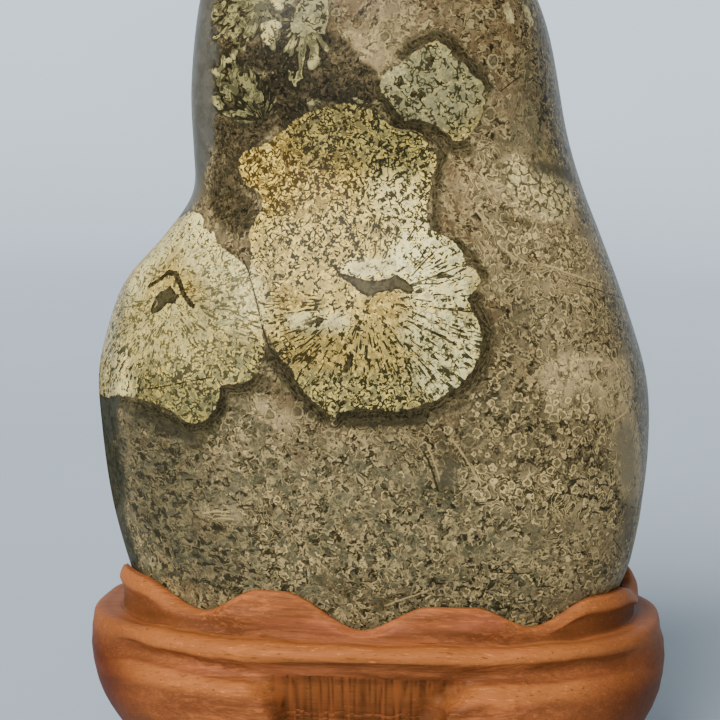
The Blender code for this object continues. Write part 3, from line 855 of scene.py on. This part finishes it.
# painted shade in the valleys between the gouges on the panels
keep(stand, "gouge_valley_shade", (fluted * (1 - flutes) ** 2)[::-1])
keep(stand, "gouge_tone", (fluted * tone_share)[::-1])
keep(stand, "chips", (fluted * stops)[::-1])
keep(stand, "along", (1 - 0.75 * ease((np.abs(x) - 30) / 24) * outer)[::-1])
keep(stand, "gloom", np.clip(gloom * outer, 0, 1.35)[::-1])
print("the stand has", len(stand.data.attributes), "attributes")

# %% [markdown]
# ## A short way to write finishes
# Every finish is a graph of small sums. The class below lets a graph be written as plain arithmetic, so a
# line such as "marks * 0.5 + specks" makes the two nodes it stands for.


# %% Node shorthand
class Value:
    """A number or vector that a node gives out, which can be added to, multiplied and compared."""

    def __init__(self, tree, socket):
        self.tree, self.socket = tree, socket

    def math(self, operation, *others):
        node = self.tree.nodes.new("ShaderNodeMath")
        node.operation = operation
        for place, given in zip(node.inputs, (self, *others)):
            join(self.tree, given, place)
        return Value(self.tree, node.outputs[0])

    def __add__(self, other):
        return self.math("ADD", other)

    def __sub__(self, other):
        return self.math("SUBTRACT", other)

    def __mul__(self, other):
        return self.math("MULTIPLY", other)

    def __rsub__(self, other):
        return (self * -1.0) + other

    def abs(self):
        return self.math("ABSOLUTE")

    def most(self, other):
        return self.math("MAXIMUM", other)

    def step(self, low, high):
        """0 below low, 1 above high, smooth between: the other way round where low is above high."""
        node = self.tree.nodes.new("ShaderNodeMapRange")
        node.interpolation_type = "SMOOTHSTEP"
        join(self.tree, self, node.inputs[0])
        limits = (low, high, 0.0, 1.0) if low < high else (high, low, 1.0, 0.0)
        for place, number in zip(node.inputs[1:5], limits):
            join(self.tree, number, place)
        return Value(self.tree, node.outputs[0])


def join(tree, given, place):
    """Feeds a socket from a Value or a constant."""
    if isinstance(given, Value):
        tree.links.new(given.socket, place)
    else:
        place.default_value = given


class Finish:
    """A material under construction, with its shader ready at the end."""

    def __init__(self, name):
        self.material = bpy.data.materials.new(name)
        self.material.use_nodes = True
        self.tree = self.material.node_tree
        self.shader = self.tree.nodes["Principled BSDF"]
        place = self.tree.nodes.new("ShaderNodeTexCoord").outputs["Object"]
        self.place = self.scaled(Value(self.tree, place), (1000.0, 1000.0, 1000.0))

    def out(self, kind, inputs, output=0, **settings):
        node = self.tree.nodes.new(kind)
        for key, setting in settings.items():
            setattr(node, key, setting)
        for key, given in inputs.items():
            join(self.tree, given, node.inputs[key])
        return Value(self.tree, node.outputs[output])

    def scaled(self, at, by):
        return self.out("ShaderNodeVectorMath", {0: at, 1: by}, operation="MULTIPLY")

    def shifted(self, at, by):
        return self.out("ShaderNodeVectorMath", {0: at, 1: by}, operation="ADD")

    def vector(self, x, y, z):
        return self.out("ShaderNodeCombineXYZ", {0: x, 1: y, 2: z})

    def stored(self, name):
        return self.out("ShaderNodeAttribute", {}, "Fac", attribute_name=name)

    def noise(self, size, at=None, detail=2.0, rough=0.5, bend=0.0, seed=0.0):
        """Cloudy noise between 0 and 1 with features about size millimetres across."""
        at = self.shifted(at or self.place, (seed, 2.3 * seed, -1.7 * seed))
        shape = {"Scale": 1.0 / size, "Detail": detail, "Roughness": rough, "Distortion": bend}
        return self.out("ShaderNodeTexNoise", {"Vector": at, **shape})

    def cells(self, size, at=None, output="Distance", feature="F1", seed=0.0):
        """Voronoi cells about size millimetres across."""
        at = self.shifted(at or self.place, (seed, -seed, 0.5 * seed))
        inputs = {"Vector": at, "Scale": 1.0 / size}
        return self.out("ShaderNodeTexVoronoi", inputs, output, feature=feature)

    def cell_random(self, size, at, seed):
        """A random number between 0 and 1 for each of the cells that the same size and seed give."""
        return self.cells(size, at=at, output="Color", seed=seed).math("MULTIPLY", 1.0)

    def blend(self, share, first, second, way="MIX"):
        """The second colour over the first by this share, from 0 to 1."""
        settings = {"data_type": "RGBA", "clamp_factor": True, "blend_type": way}
        return self.out("ShaderNodeMix", {0: share, 6: first, 7: second}, 2, **settings)

    def coats(self, tone, *coats):
        """The tone with coats over it in turn: each is a share, then a colour or its red, green and blue."""
        for share, *colour in coats:
            tone = self.blend(share, tone, colour[0] if len(colour) == 1 else paint(*colour))
        return tone

    def shader_input(self, name, given):
        join(self.tree, given, self.shader.inputs[name])


# How bright daylight makes a white surface here, and the picture's tone curve, in four numbers.
DAYLIGHT = 2.0
MUTING, CURVE_GAIN, CURVE_POWER, FADING = 0.357, 0.169, 1.38, 0.271


def paint(red, green, blue):
    """The paint that looks this colour, 0 to 255, in the picture.

    The picture's tone curve flattens light tones and mutes colours towards their green share, so the
    formula undoes both and then takes off the strength of the daylight.
    """
    seen = np.array([red, green, blue]) / 255
    seen = (seen + MUTING * seen[1]) / (1 + MUTING)
    light = CURVE_GAIN * seen / (1 - seen) ** CURVE_POWER
    light = np.clip((light - FADING * light[1]) / (1 - FADING), 0.002, None)
    return (*(light / DAYLIGHT).tolist(), 1.0)


# %% [markdown]
# ## The stone's finish
# Under everything lies the rock: tan, khaki where it is finer, and nearly black where it is dense. Over it
# go pale worm marks and dark specks, then fossil rings, then the flowers with their own darker worms and
# streaks, and last the inks, chalks, cracks and veins.

# %% Rock round the flowers
rock = Finish("flower_stone")
kept = SimpleNamespace(**{name: rock.stored(name) for name in (
    "flower", "tuft", "way_x", "way_y", "far", "streaky", "ink", "chalk", "crack", "crack_reach", "vein",
    "vein_reach", *WASHES)})
bends = rock.out("ShaderNodeTexNoise", {"Vector": rock.place, "Scale": 0.30, "Detail": 2.0}, "Color")
warped = rock.shifted(rock.place, rock.scaled(bends, (4.0, 4.0, 4.0)))
small_bends = rock.out("ShaderNodeTexNoise", {"Vector": rock.place, "Scale": 0.9, "Detail": 1.0}, "Color")
crooked = rock.shifted(rock.place, rock.scaled(small_bends, (1.5, 1.5, 1.5)))
clouds = rock.noise(10.0, detail=3.0, seed=5)
patches = rock.noise(3.2, detail=3.0, rough=0.62, seed=11)
grain = rock.noise(0.75, detail=3.0, rough=0.7, seed=17)
curl_field = rock.noise(1.9, at=warped, seed=23)
curl_break = rock.noise(2.2, detail=1.0, seed=29)
calm = rock.noise(4.5, at=warped, detail=1.0, rough=0.4, seed=151).step(0.52, 0.62)
busy = (1.0 - kept.bare) * (1.0 - calm * 0.55)
dark = busy * (1.0 - kept.lit * 0.35)

colour = rock.blend(kept.khaki, paint(136, 119, 84), paint(118, 113, 83))
hue = rock.noise(5.5, at=warped, rough=0.6, seed=157)
flow = rock.noise(1.0, at=rock.scaled(warped, (0.22, 0.6, 1.5)), rough=0.6, seed=97)
curl = (curl_field - 0.52).abs().step(0.070, 0.030) * curl_break.step(0.43, 0.50) * busy
shadow = (curl_field - 0.41).abs().step(0.055, 0.020) * curl_break.step(0.40, 0.50) * dark
smears = rock.noise(1.7, at=rock.scaled(warped, (0.40, 1.0, 1.1)), rough=0.6, seed=139)
pits = rock.noise(1.5, at=warped, detail=3.0, rough=0.6, seed=37) + (patches - 0.5) * -0.25
colour = rock.coats(
    colour,
    (hue.step(0.53, 0.60) * 0.65, 102, 96, 64),
    (hue.step(0.46, 0.39) * 0.60, 156, 134, 98),
    (kept.blush * 0.85, 147, 118, 78),
    (kept.lit * 0.8, 176, 161, 130),
    (clouds.step(0.50, 0.38) * dark * 0.5, 100, 88, 56),
    (clouds.step(0.54, 0.66) * 0.4, 156, 144, 112),
    (patches.step(0.52, 0.60) * busy * 0.45, 166, 152, 118),
    (patches.step(0.46, 0.38) * dark * 0.55, 88, 76, 46),
    (flow.step(0.52, 0.60) * kept.smear * 0.6, 168, 156, 124),
    (flow.step(0.46, 0.40) * kept.smear * dark * 0.6, 84, 72, 44),
    (grain.step(0.56, 0.62) * busy * 0.45, 176, 162, 128),
    (grain.step(0.45, 0.38) * dark * 0.7, 60, 50, 26),
    (shadow * 0.85, 44, 36, 16),
    (curl * 0.75, 186, 173, 138),
    (smears.step(0.55, 0.58) * kept.smear.step(0.2, 0.6) * 0.95, 42, 35, 16),
    (pits.step(0.58, 0.61) * dark * 0.95, 34, 28, 12),
)

# %% Contours and cells
def two_tone(field, first, second):
    """A colour that changes softly from the first to the second as the noise passes its middle."""
    return rock.blend(field.step(0.42, 0.58), paint(*first), paint(*second))


mottle = rock.noise(2.4, at=warped, rough=0.6, seed=31)
fine_mottle = rock.noise(1.1, at=warped, rough=0.6, seed=131)
layer_field = rock.noise(7.0, at=warped, detail=1.5, rough=0.4, seed=101)
layers = (layer_field * 15.0 + kept.flower * 0.12).math("FRACT")
layer_break = kept.contours.most(0.3) * rock.noise(3.0, detail=1.0, seed=103).step(0.43, 0.50)
cell_edge = rock.cells(2.6, at=crooked, feature="DISTANCE_TO_EDGE", seed=21)
cell_share = (kept.cells + (patches - 0.5) * 1.6).step(0.35, 0.60)
cell_fill = two_tone(rock.noise(1.6, seed=107), (164, 154, 122), (192, 184, 152))
colour = rock.coats(
    colour,
    (layers.step(0.55, 0.95) * layer_break * 0.4, 96, 86, 54),
    ((layers - 0.30).abs().step(0.13, 0.07) * layer_break * 0.85, 72, 61, 34),
    ((layers - 0.52).abs().step(0.11, 0.05) * layer_break * 0.95, 190, 177, 141),
    (cell_share * 0.85, cell_fill),
    (cell_share * cell_edge.step(0.11, 0.05) * 0.9, 70, 58, 28),
)

# %% Round bodies and fossil rings
body = rock.cells(5.2, at=crooked, seed=163)
body_random = rock.cell_random(5.2, crooked, 163)
body_share = body_random.step(0.58, 0.60) * (1.0 - kept.night.most(kept.khaki * 0.8)) * busy
body_size = body_random * 0.40 - 0.03
inner = body_size - body
ring = rock.cells(2.7, at=crooked, seed=3)
ring_random = rock.cell_random(2.7, crooked, 3)
ring_edge = rock.cells(2.7, at=crooked, feature="DISTANCE_TO_EDGE", seed=3)
ring_place = rock.noise(2.6, detail=3.0, rough=0.6, seed=41) + kept.rings * 0.20 - 0.10
ring_share = ring_place.step(0.50, 0.54)
ring_size = ring_random * 0.30 + 0.17
rim = (ring - ring_size).abs().step(0.085, 0.045) * ring_edge.step(0.02, 0.06)
colour = rock.coats(
    colour,
    (body_share * inner.step(-0.11, -0.04) * 0.55, 70, 59, 32),
    (body_share * inner.step(-0.02, 0.01), rock.blend(mottle, paint(112, 98, 64), paint(150, 138, 104))),
    (body_share * (inner - 0.01).abs().step(0.045, 0.020) * 0.85, 184, 172, 138),
    (body_share * (inner - 0.12).abs().step(0.030, 0.012) * 0.8, 64, 53, 27),
    (ring_share * ring_edge.step(0.12, 0.05) * kept.rings.step(0.5, 0.9) * patches.step(0.56, 0.46) * dark
     * 0.75, 48, 40, 18),
    (ring_share * (ring - ring_size - 0.13).abs().step(0.08, 0.03) * dark * 0.6, 64, 54, 28),
    (
        ring_share * (ring_size - ring).step(0.03, 0.08) * 0.6,
        rock.blend(ring_random, paint(96, 84, 52), paint(156, 142, 104)),
    ),
    (ring_share * rim * 0.95, 194, 181, 147),
    (ring_share * ring.step(0.09, 0.05) * ring_random.step(0.5, 0.6) * 0.9, 40, 32, 12),
)

# %% Dusk round the flowers
night = kept.night + (patches - 0.5) * 1.0
dusk = (kept.dusk + (patches - 0.5) * 1.5 + (grain - 0.5) * 1.0).step(0.35, 0.72)
outside = kept.flower + (patches - 0.5) * 3.0
ribbon = outside.step(-2.3, -1.9) * (kept.dusk + (mottle - 0.5) * 1.2).step(0.30, 0.60) * 0.85
threads = ((outside * 1.1).math("FRACT") - 0.5).abs()
threads = threads.step(0.14, 0.07) * outside.step(-4.2, -3.4) * kept.dusk.step(0.15, 0.55)
# Painted reflection: the grey sheen tone laid on the stone's left edges.
painted_reflection_tone = rock.blend(patches.step(0.4, 0.6), paint(96, 95, 83), paint(113, 111, 101))
ripple = (patches - 0.5) * 0.9 + (mottle - 0.5) * 0.8
painted_reflection_tone = rock.coats(painted_reflection_tone, ((curl + shadow) * 0.25, 128, 124, 108))
colour = rock.coats(
    colour,
    (night.step(0.25, 0.70) * 0.9, 44, 37, 18),
    (
        night.step(0.30, 0.70) * mottle.step(0.53, 0.58) * 0.8,
        rock.blend(fine_mottle.step(0.44, 0.56), paint(68, 54, 28), paint(124, 105, 70)),
    ),
    (night.step(0.30, 0.70) * fine_mottle.step(0.45, 0.40) * 0.9, 16, 12, 3),
    (night.step(0.30, 0.70) * grain.step(0.57, 0.61) * 0.7, 136, 118, 80),
    (dusk * 0.7, two_tone(fine_mottle, (34, 28, 10), (86, 75, 44))),
    (dusk * grain.step(0.53, 0.62) * 0.5, 110, 97, 66),
    (ribbon, two_tone(fine_mottle, (42, 33, 12), (86, 72, 38))),
    (ribbon * grain.step(0.53, 0.58) * 0.7, 116, 101, 62),
    (ribbon * grain.step(0.46, 0.41) * 0.8, 24, 18, 5),
    (threads * curl_break.step(0.42, 0.48) * 0.7, 132, 118, 82),
    (kept.bare * 0.55, 102, 96, 74),
    # painted reflection of the room on the left edges
    ((kept.satin + ripple).step(0.10, 0.95) * 0.85, painted_reflection_tone),
    # painted dark reflection of the dark surroundings on the lower left edge
    (
        (kept.slate + ripple * 1.2 + (grain - 0.5) * 0.6).step(0.20, 1.0) * 0.9,
        rock.blend(mottle.step(0.4, 0.6), paint(40, 44, 33), paint(74, 76, 62)),
    ),
)

# %% Rays
def ray_field(turns, seed):
    """Noise drawn out along the lines from a flower's middle, with this many turns of it in a radian."""
    place = rock.vector(kept.way_x * turns, kept.way_y * turns, kept.far * 0.26)
    return rock.noise(1.0, at=place, detail=1.5, bend=0.3, seed=seed)


# %% Flowers
edge = kept.flower + (rock.noise(1.2, seed=43) - 0.5) * 1.2
cream = rock.blend(kept.bleach, paint(196, 182, 134), paint(214, 211, 190))
mark_colour = rock.blend(kept.ochre, paint(66, 60, 28), paint(90, 64, 18))
worm_field = rock.noise(1.5, at=warped, detail=1.5, seed=59)
worm_break = rock.noise(1.7, detail=1.0, seed=61) + kept.dense * 0.10
worm_break = worm_break - kept.streaky * 0.06 - kept.loops * 0.05
plain = kept.loops.step(0.55, 0.10)
worms = (worm_field - 0.5).abs().step(0.075, 0.045) * worm_break.step(0.50, 0.54) * plain
halo = ((worm_field - 0.5).abs() - 0.13).abs().step(0.05, 0.02) * worm_break.step(0.50, 0.54) * plain
blots = rock.noise(1.1, rough=0.55, seed=67) + kept.dense * 0.03 - kept.bleach * 0.02
blots = blots.step(0.61, 0.64) * (1.0 - kept.loops * 0.6)
bold_field = rock.noise(2.3, at=warped, detail=1.0, seed=113)
curly_break = rock.noise(2.4, detail=1.0, seed=127).step(0.43, 0.46)
bold = (bold_field - 0.5).abs().step(0.060, 0.032) * curly_break * kept.loops.step(0.25, 0.45)
eyelet = rock.cells(2.6, at=crooked, seed=171)
eyelet_random = rock.cell_random(2.6, crooked, 171)
eyelets = (eyelet - eyelet_random * 0.3 - 0.08).abs().step(0.070, 0.040) * eyelet_random.step(0.40, 0.42)
bold = bold.most(eyelets * (kept.loops + kept.ochre * 0.8 + kept.streaky * 0.4).step(0.25, 0.60))
fields = [ray_field(turns, 70 + turns) for turns in (9, 18, 32)]
nearer, farther = kept.far.step(9.0, 6.0), kept.far.step(14.0, 17.0)
rays = fields[1] + (fields[0] - fields[1]) * nearer
rays = rays + (fields[2] - rays) * farther
ray_break = rock.noise(2.6, at=warped, detail=1.0, seed=73) - kept.bleach * 0.03
rays = rays.step(0.535, 0.56) * ray_break.step(0.42, 0.47)
marks = worms.most(blots).most(bold)
marks = marks.most(rays * kept.streaky.step(0.25, 0.45))
crackle = rock.cells(1.8, at=crooked, feature="DISTANCE_TO_EDGE", seed=7).step(0.10, 0.05)
crackle = crackle * kept.crackle * rock.noise(2.0, detail=1.0, seed=79).step(0.42, 0.5)
marks = marks.most(crackle * 0.8)
blades = ray_field(5.5, 89)
leaf = kept.tuft.math("MINIMUM", 2.0) + (blades - 0.50) * 24.0
leaf_colour = two_tone(mottle, (140, 132, 94), (190, 183, 148))
near_tuft = kept.tuft.step(-3.0, -1.0)
mark_colour = rock.coats(mark_colour, (kept.bleach * 0.6, 98, 90, 58))
leaf_colour = rock.coats(
    leaf_colour,
    ((blades - 0.57).abs().step(0.022, 0.010) * 0.8, 70, 62, 32),
    (blots, 58, 52, 26),
)
cream = rock.coats(
    cream,
    (kept.ochre * 0.9, 162, 132, 62),
    (kept.olive * 0.8, 160, 156, 120),
    (clouds.step(0.48, 0.38) * 0.25, 176, 160, 110),
    (mottle.step(0.53, 0.60) * 0.45, 214, 204, 164),
    (mottle.step(0.45, 0.38) * 0.45, 166, 154, 112),
    (kept.loops * 0.7, two_tone(mottle, (146, 142, 112), (172, 167, 136))),
    # painted reflection greys the left flower's outer edge
    (kept.satin * 0.7, 140, 140, 122),
    (halo * 0.5, 222, 214, 178),
    (marks * (1.0 - kept.faint * 0.35), mark_colour),
    (grain.step(0.60, 0.66) * 0.5, 222, 214, 182),
    (grain.step(0.42, 0.36) * 0.65, 76, 66, 32),
)
colour = rock.coats(
    colour,
    (leaf.step(-3.6, -1.2) * near_tuft * 0.85, 40, 34, 15),
    (leaf.step(-0.2, 0.4) * near_tuft, leaf_colour),
    (edge.step(-1.3, -0.1) * 0.5, 64, 55, 30),
    (edge.step(-0.12, 0.12), cream),
)

# %% Inks, chalks, cracks and veins
wobble = (rock.noise(0.9, seed=83) - 0.5) * 0.8
chalk = (kept.chalk + wobble * 1.6).step(-0.10, 0.15) * (1.0 - marks * 0.8)
ink_colour = rock.blend(kept.ink.step(0.20, 0.75), paint(48, 38, 12), paint(104, 92, 56))
vein = (kept.vein_reach - (kept.vein + wobble * 0.5).abs()).step(-0.06, 0.06)
crack = (kept.crack_reach - (kept.crack + wobble * 0.5).abs()).step(-0.05, 0.05)
ink_colour = rock.coats(
    ink_colour,
    (fine_mottle.step(0.50, 0.60) * 0.7, 122, 108, 70),
    (fine_mottle.step(0.46, 0.38) * 0.6, 56, 44, 14),
)
colour = rock.coats(
    colour,
    (chalk * 0.7, two_tone(mottle, (186, 178, 146), (208, 202, 176))),
    ((kept.ink + wobble).step(-0.08, 0.10), ink_colour),
    (vein * curl_break.step(0.38, 0.46) * 0.70, 190, 176, 141),
    (crack * curl_break.step(0.34, 0.42) * 0.9, 44, 36, 14),
)
colour = rock.blend(kept.shade, colour, (0.50, 0.52, 0.50, 1.0), "MULTIPLY")
colour = rock.blend(kept.lit, colour, (1.50, 1.50, 1.48, 1.0), "MULTIPLY")
rock.shader_input("Base Color", colour)
# less gloss where the dark reflection is painted in
shine = 1.0 - kept.slate
rock.shader_input("Specular IOR Level", shine * 0.06)
rock.shader_input("Coat Weight", shine * 0.07)
rock.shader.inputs["Roughness"].default_value = 0.40
rock.shader.inputs["Coat Roughness"].default_value = 0.15
rock.shader.inputs["Coat IOR"].default_value = 1.35
relief = rock.out("ShaderNodeBump", {"Height": grain, "Strength": 0.05, "Distance": 0.0002})
rock.shader_input("Normal", relief)
stone.data.materials.append(rock.material)
print("stone finish:", len(rock.tree.nodes), "nodes")

# %% [markdown]
# ## The stand's finish
# The wood is a pale orange-brown with fine straight grain along the stand's length, oiled and lightly
# varnished. Its rim, bead and lobe tops are lighter, partly from handling and partly as painted highlight;
# painted shade darkens the cove, the collar's foot, the panels, their gouge valleys, the ends and the lower
# part.

# %% Wood
wood = Finish("carved_wood")


def drawn_out(size, share, **shape):
    """Noise stretched along the stand's length: the share is how fast it changes that way."""
    return wood.noise(size, at=wood.scaled(wood.place, (share, 1.0, 1.0)), **shape)


board = drawn_out(5.0, 0.055, detail=4.0, rough=0.6, bend=0.5, seed=5)
fibre = drawn_out(0.7, 0.035, detail=3.0, rough=0.6, seed=9)
smear = drawn_out(9.0, 0.12, detail=1.0, seed=13)
along = wood.stored("along")
tone = wood.blend((board.step(0.38, 0.62) - 0.5) * along + 0.5, paint(146, 80, 40), paint(177, 110, 61))
band = drawn_out(1.7, 0.030, rough=0.6, seed=29)
hair = drawn_out(0.30, 0.05, rough=0.6, seed=17)
nicks = wood.noise(0.7, at=wood.scaled(wood.place, (0.12, 1.0, 1.3)), detail=3.0, rough=0.7, seed=23)
edges = wood.stored("wear_and_highlight").most(wood.stored("shaded"))
tone = wood.coats(
    tone,
    (band.step(0.54, 0.60) * along * 0.45, 138, 70, 32),
    (band.step(0.44, 0.38) * along * 0.45, 204, 142, 88),
    (fibre.step(0.52, 0.62) * along * 0.45, 142, 74, 36),
    (fibre.step(0.46, 0.38) * along * 0.40, 200, 138, 88),
    (hair.step(0.56, 0.66) * 0.35, 132, 68, 30),
    (hair.step(0.42, 0.34) * 0.30, 206, 146, 96),
    (smear.step(0.46, 0.68) * along * 0.35, 150, 72, 34),
    (smear.step(0.44, 0.34) * along * 0.35, 196, 124, 88),
    # wear and painted highlight on the rim, bead and lobe tops
    (wood.stored("wear_and_highlight") * 0.52, 198, 139, 80),
    (nicks.step(0.60, 0.66) * (edges * 0.6 + 0.12), 118, 58, 22),
    (nicks.step(0.38, 0.33) * (edges * 0.6 + 0.12), 214, 156, 106),
    # painted shade in the cove, at the collar's foot, on the panels and in the notch
    (wood.stored("shaded") * 0.75, 124, 60, 22),
    (wood.stored("gouge_tone").step(0.35, 0.95) * 0.6, 168, 92, 42),
    # painted shade in the gouge valleys
    (wood.stored("gouge_valley_shade") * 0.75, 74, 32, 10),
    (wood.stored("chips") * nicks.step(0.44, 0.56) * 0.7, 186, 118, 70),
)
tone = wood.blend(wood.stored("gloom"), tone, (0.40, 0.29, 0.27, 1.0), "MULTIPLY")
wood.shader_input("Base Color", tone)
wood.shader_input("Roughness", fibre * 0.2 + 0.40)
wood.shader.inputs["Specular IOR Level"].default_value = 0.06
wood_relief = wood.out("ShaderNodeBump", {"Height": fibre, "Strength": 0.12, "Distance": 0.0002})
wood.shader_input("Normal", wood_relief)
stand.data.materials.append(wood.material)
print("wood finish:", len(wood.tree.nodes), "nodes")

# %% [markdown]
# ## Floor, light and camera
# A pale floor sweeps up behind the object. The light is soft daylight from the upper left, with a weaker
# light from the right and a little from the room all round.

# %% Floor, light and camera
# metres
SWEEP_NEAR, SWEEP_START, SWEEP_RADIUS, SWEEP_HALF_WIDTH, SWEEP_TOP = -2.0, 1.15, 0.50, 2.4, 1.6
bend_turn = np.linspace(0, np.pi / 2, 24)
bend_y = SWEEP_START + SWEEP_RADIUS * np.sin(bend_turn)
sweep_y = np.concatenate([[SWEEP_NEAR], bend_y, [SWEEP_START + SWEEP_RADIUS]])
sweep_z = np.concatenate([[0.0], SWEEP_RADIUS * (1 - np.cos(bend_turn)), [SWEEP_TOP]])
sweep = [(side * SWEEP_HALF_WIDTH, y, z) for y, z in zip(sweep_y, sweep_z) for side in (-1, 1)]
strips = [(2 * k, 2 * k + 1, 2 * k + 3, 2 * k + 2) for k in range(len(sweep_y) - 1)]
floor_mesh = bpy.data.meshes.new("floor")
floor_mesh.from_pydata(sweep, [], strips)
floor_mesh.shade_smooth()
floor = bpy.data.objects.new("floor", floor_mesh)
bpy.context.scene.collection.objects.link(floor)
floor_finish = Finish("floor_paint")
shade = floor_finish.noise(300.0)
floor_colour = floor_finish.blend(shade, paint(190, 195, 199), paint(195, 200, 204))
floor_finish.shader_input("Base Color", floor_colour)
floor_finish.shader.inputs["Roughness"].default_value = 0.8
floor_mesh.materials.append(floor_finish.material)


def daylight(name, coming_from, strength, spread):
    """A soft sun whose light comes from this direction, spread over this many degrees."""
    light = bpy.data.lights.new(name, "SUN")
    light.energy, light.angle = strength, math.radians(spread)
    obj = bpy.data.objects.new(name, light)
    obj.rotation_euler = Vector(coming_from).to_track_quat("Z", "Y").to_euler()
    bpy.context.scene.collection.objects.link(obj)


daylight("window", (-0.36, -0.86, 0.58), 5.6, 40.0)
daylight("room", (0.45, -0.90, 0.15), 0.5, 80.0)
world = bpy.data.worlds.new("grey_room")
world.use_nodes = True
world.node_tree.nodes["Background"].inputs["Color"].default_value = (0.95, 0.98, 1.0, 1.0)
world.node_tree.nodes["Background"].inputs["Strength"].default_value = 0.26
bpy.context.scene.world = world

camera_data = bpy.data.cameras.new("photo_camera")
camera_data.sensor_width = 36.0
camera_data.lens = 36.0 * FOCAL_PIXELS / PHOTO_WIDTH
camera_data.clip_start = 0.01
camera = bpy.data.objects.new("photo_camera", camera_data)
camera.location = (eye * MM).tolist()
camera.rotation_euler = (math.pi / 2 - CAMERA_PITCH, 0.0, CAMERA_TURN)
bpy.context.scene.collection.objects.link(camera)
bpy.context.scene.camera = camera
print("camera at", [round(v, 3) for v in camera.location])
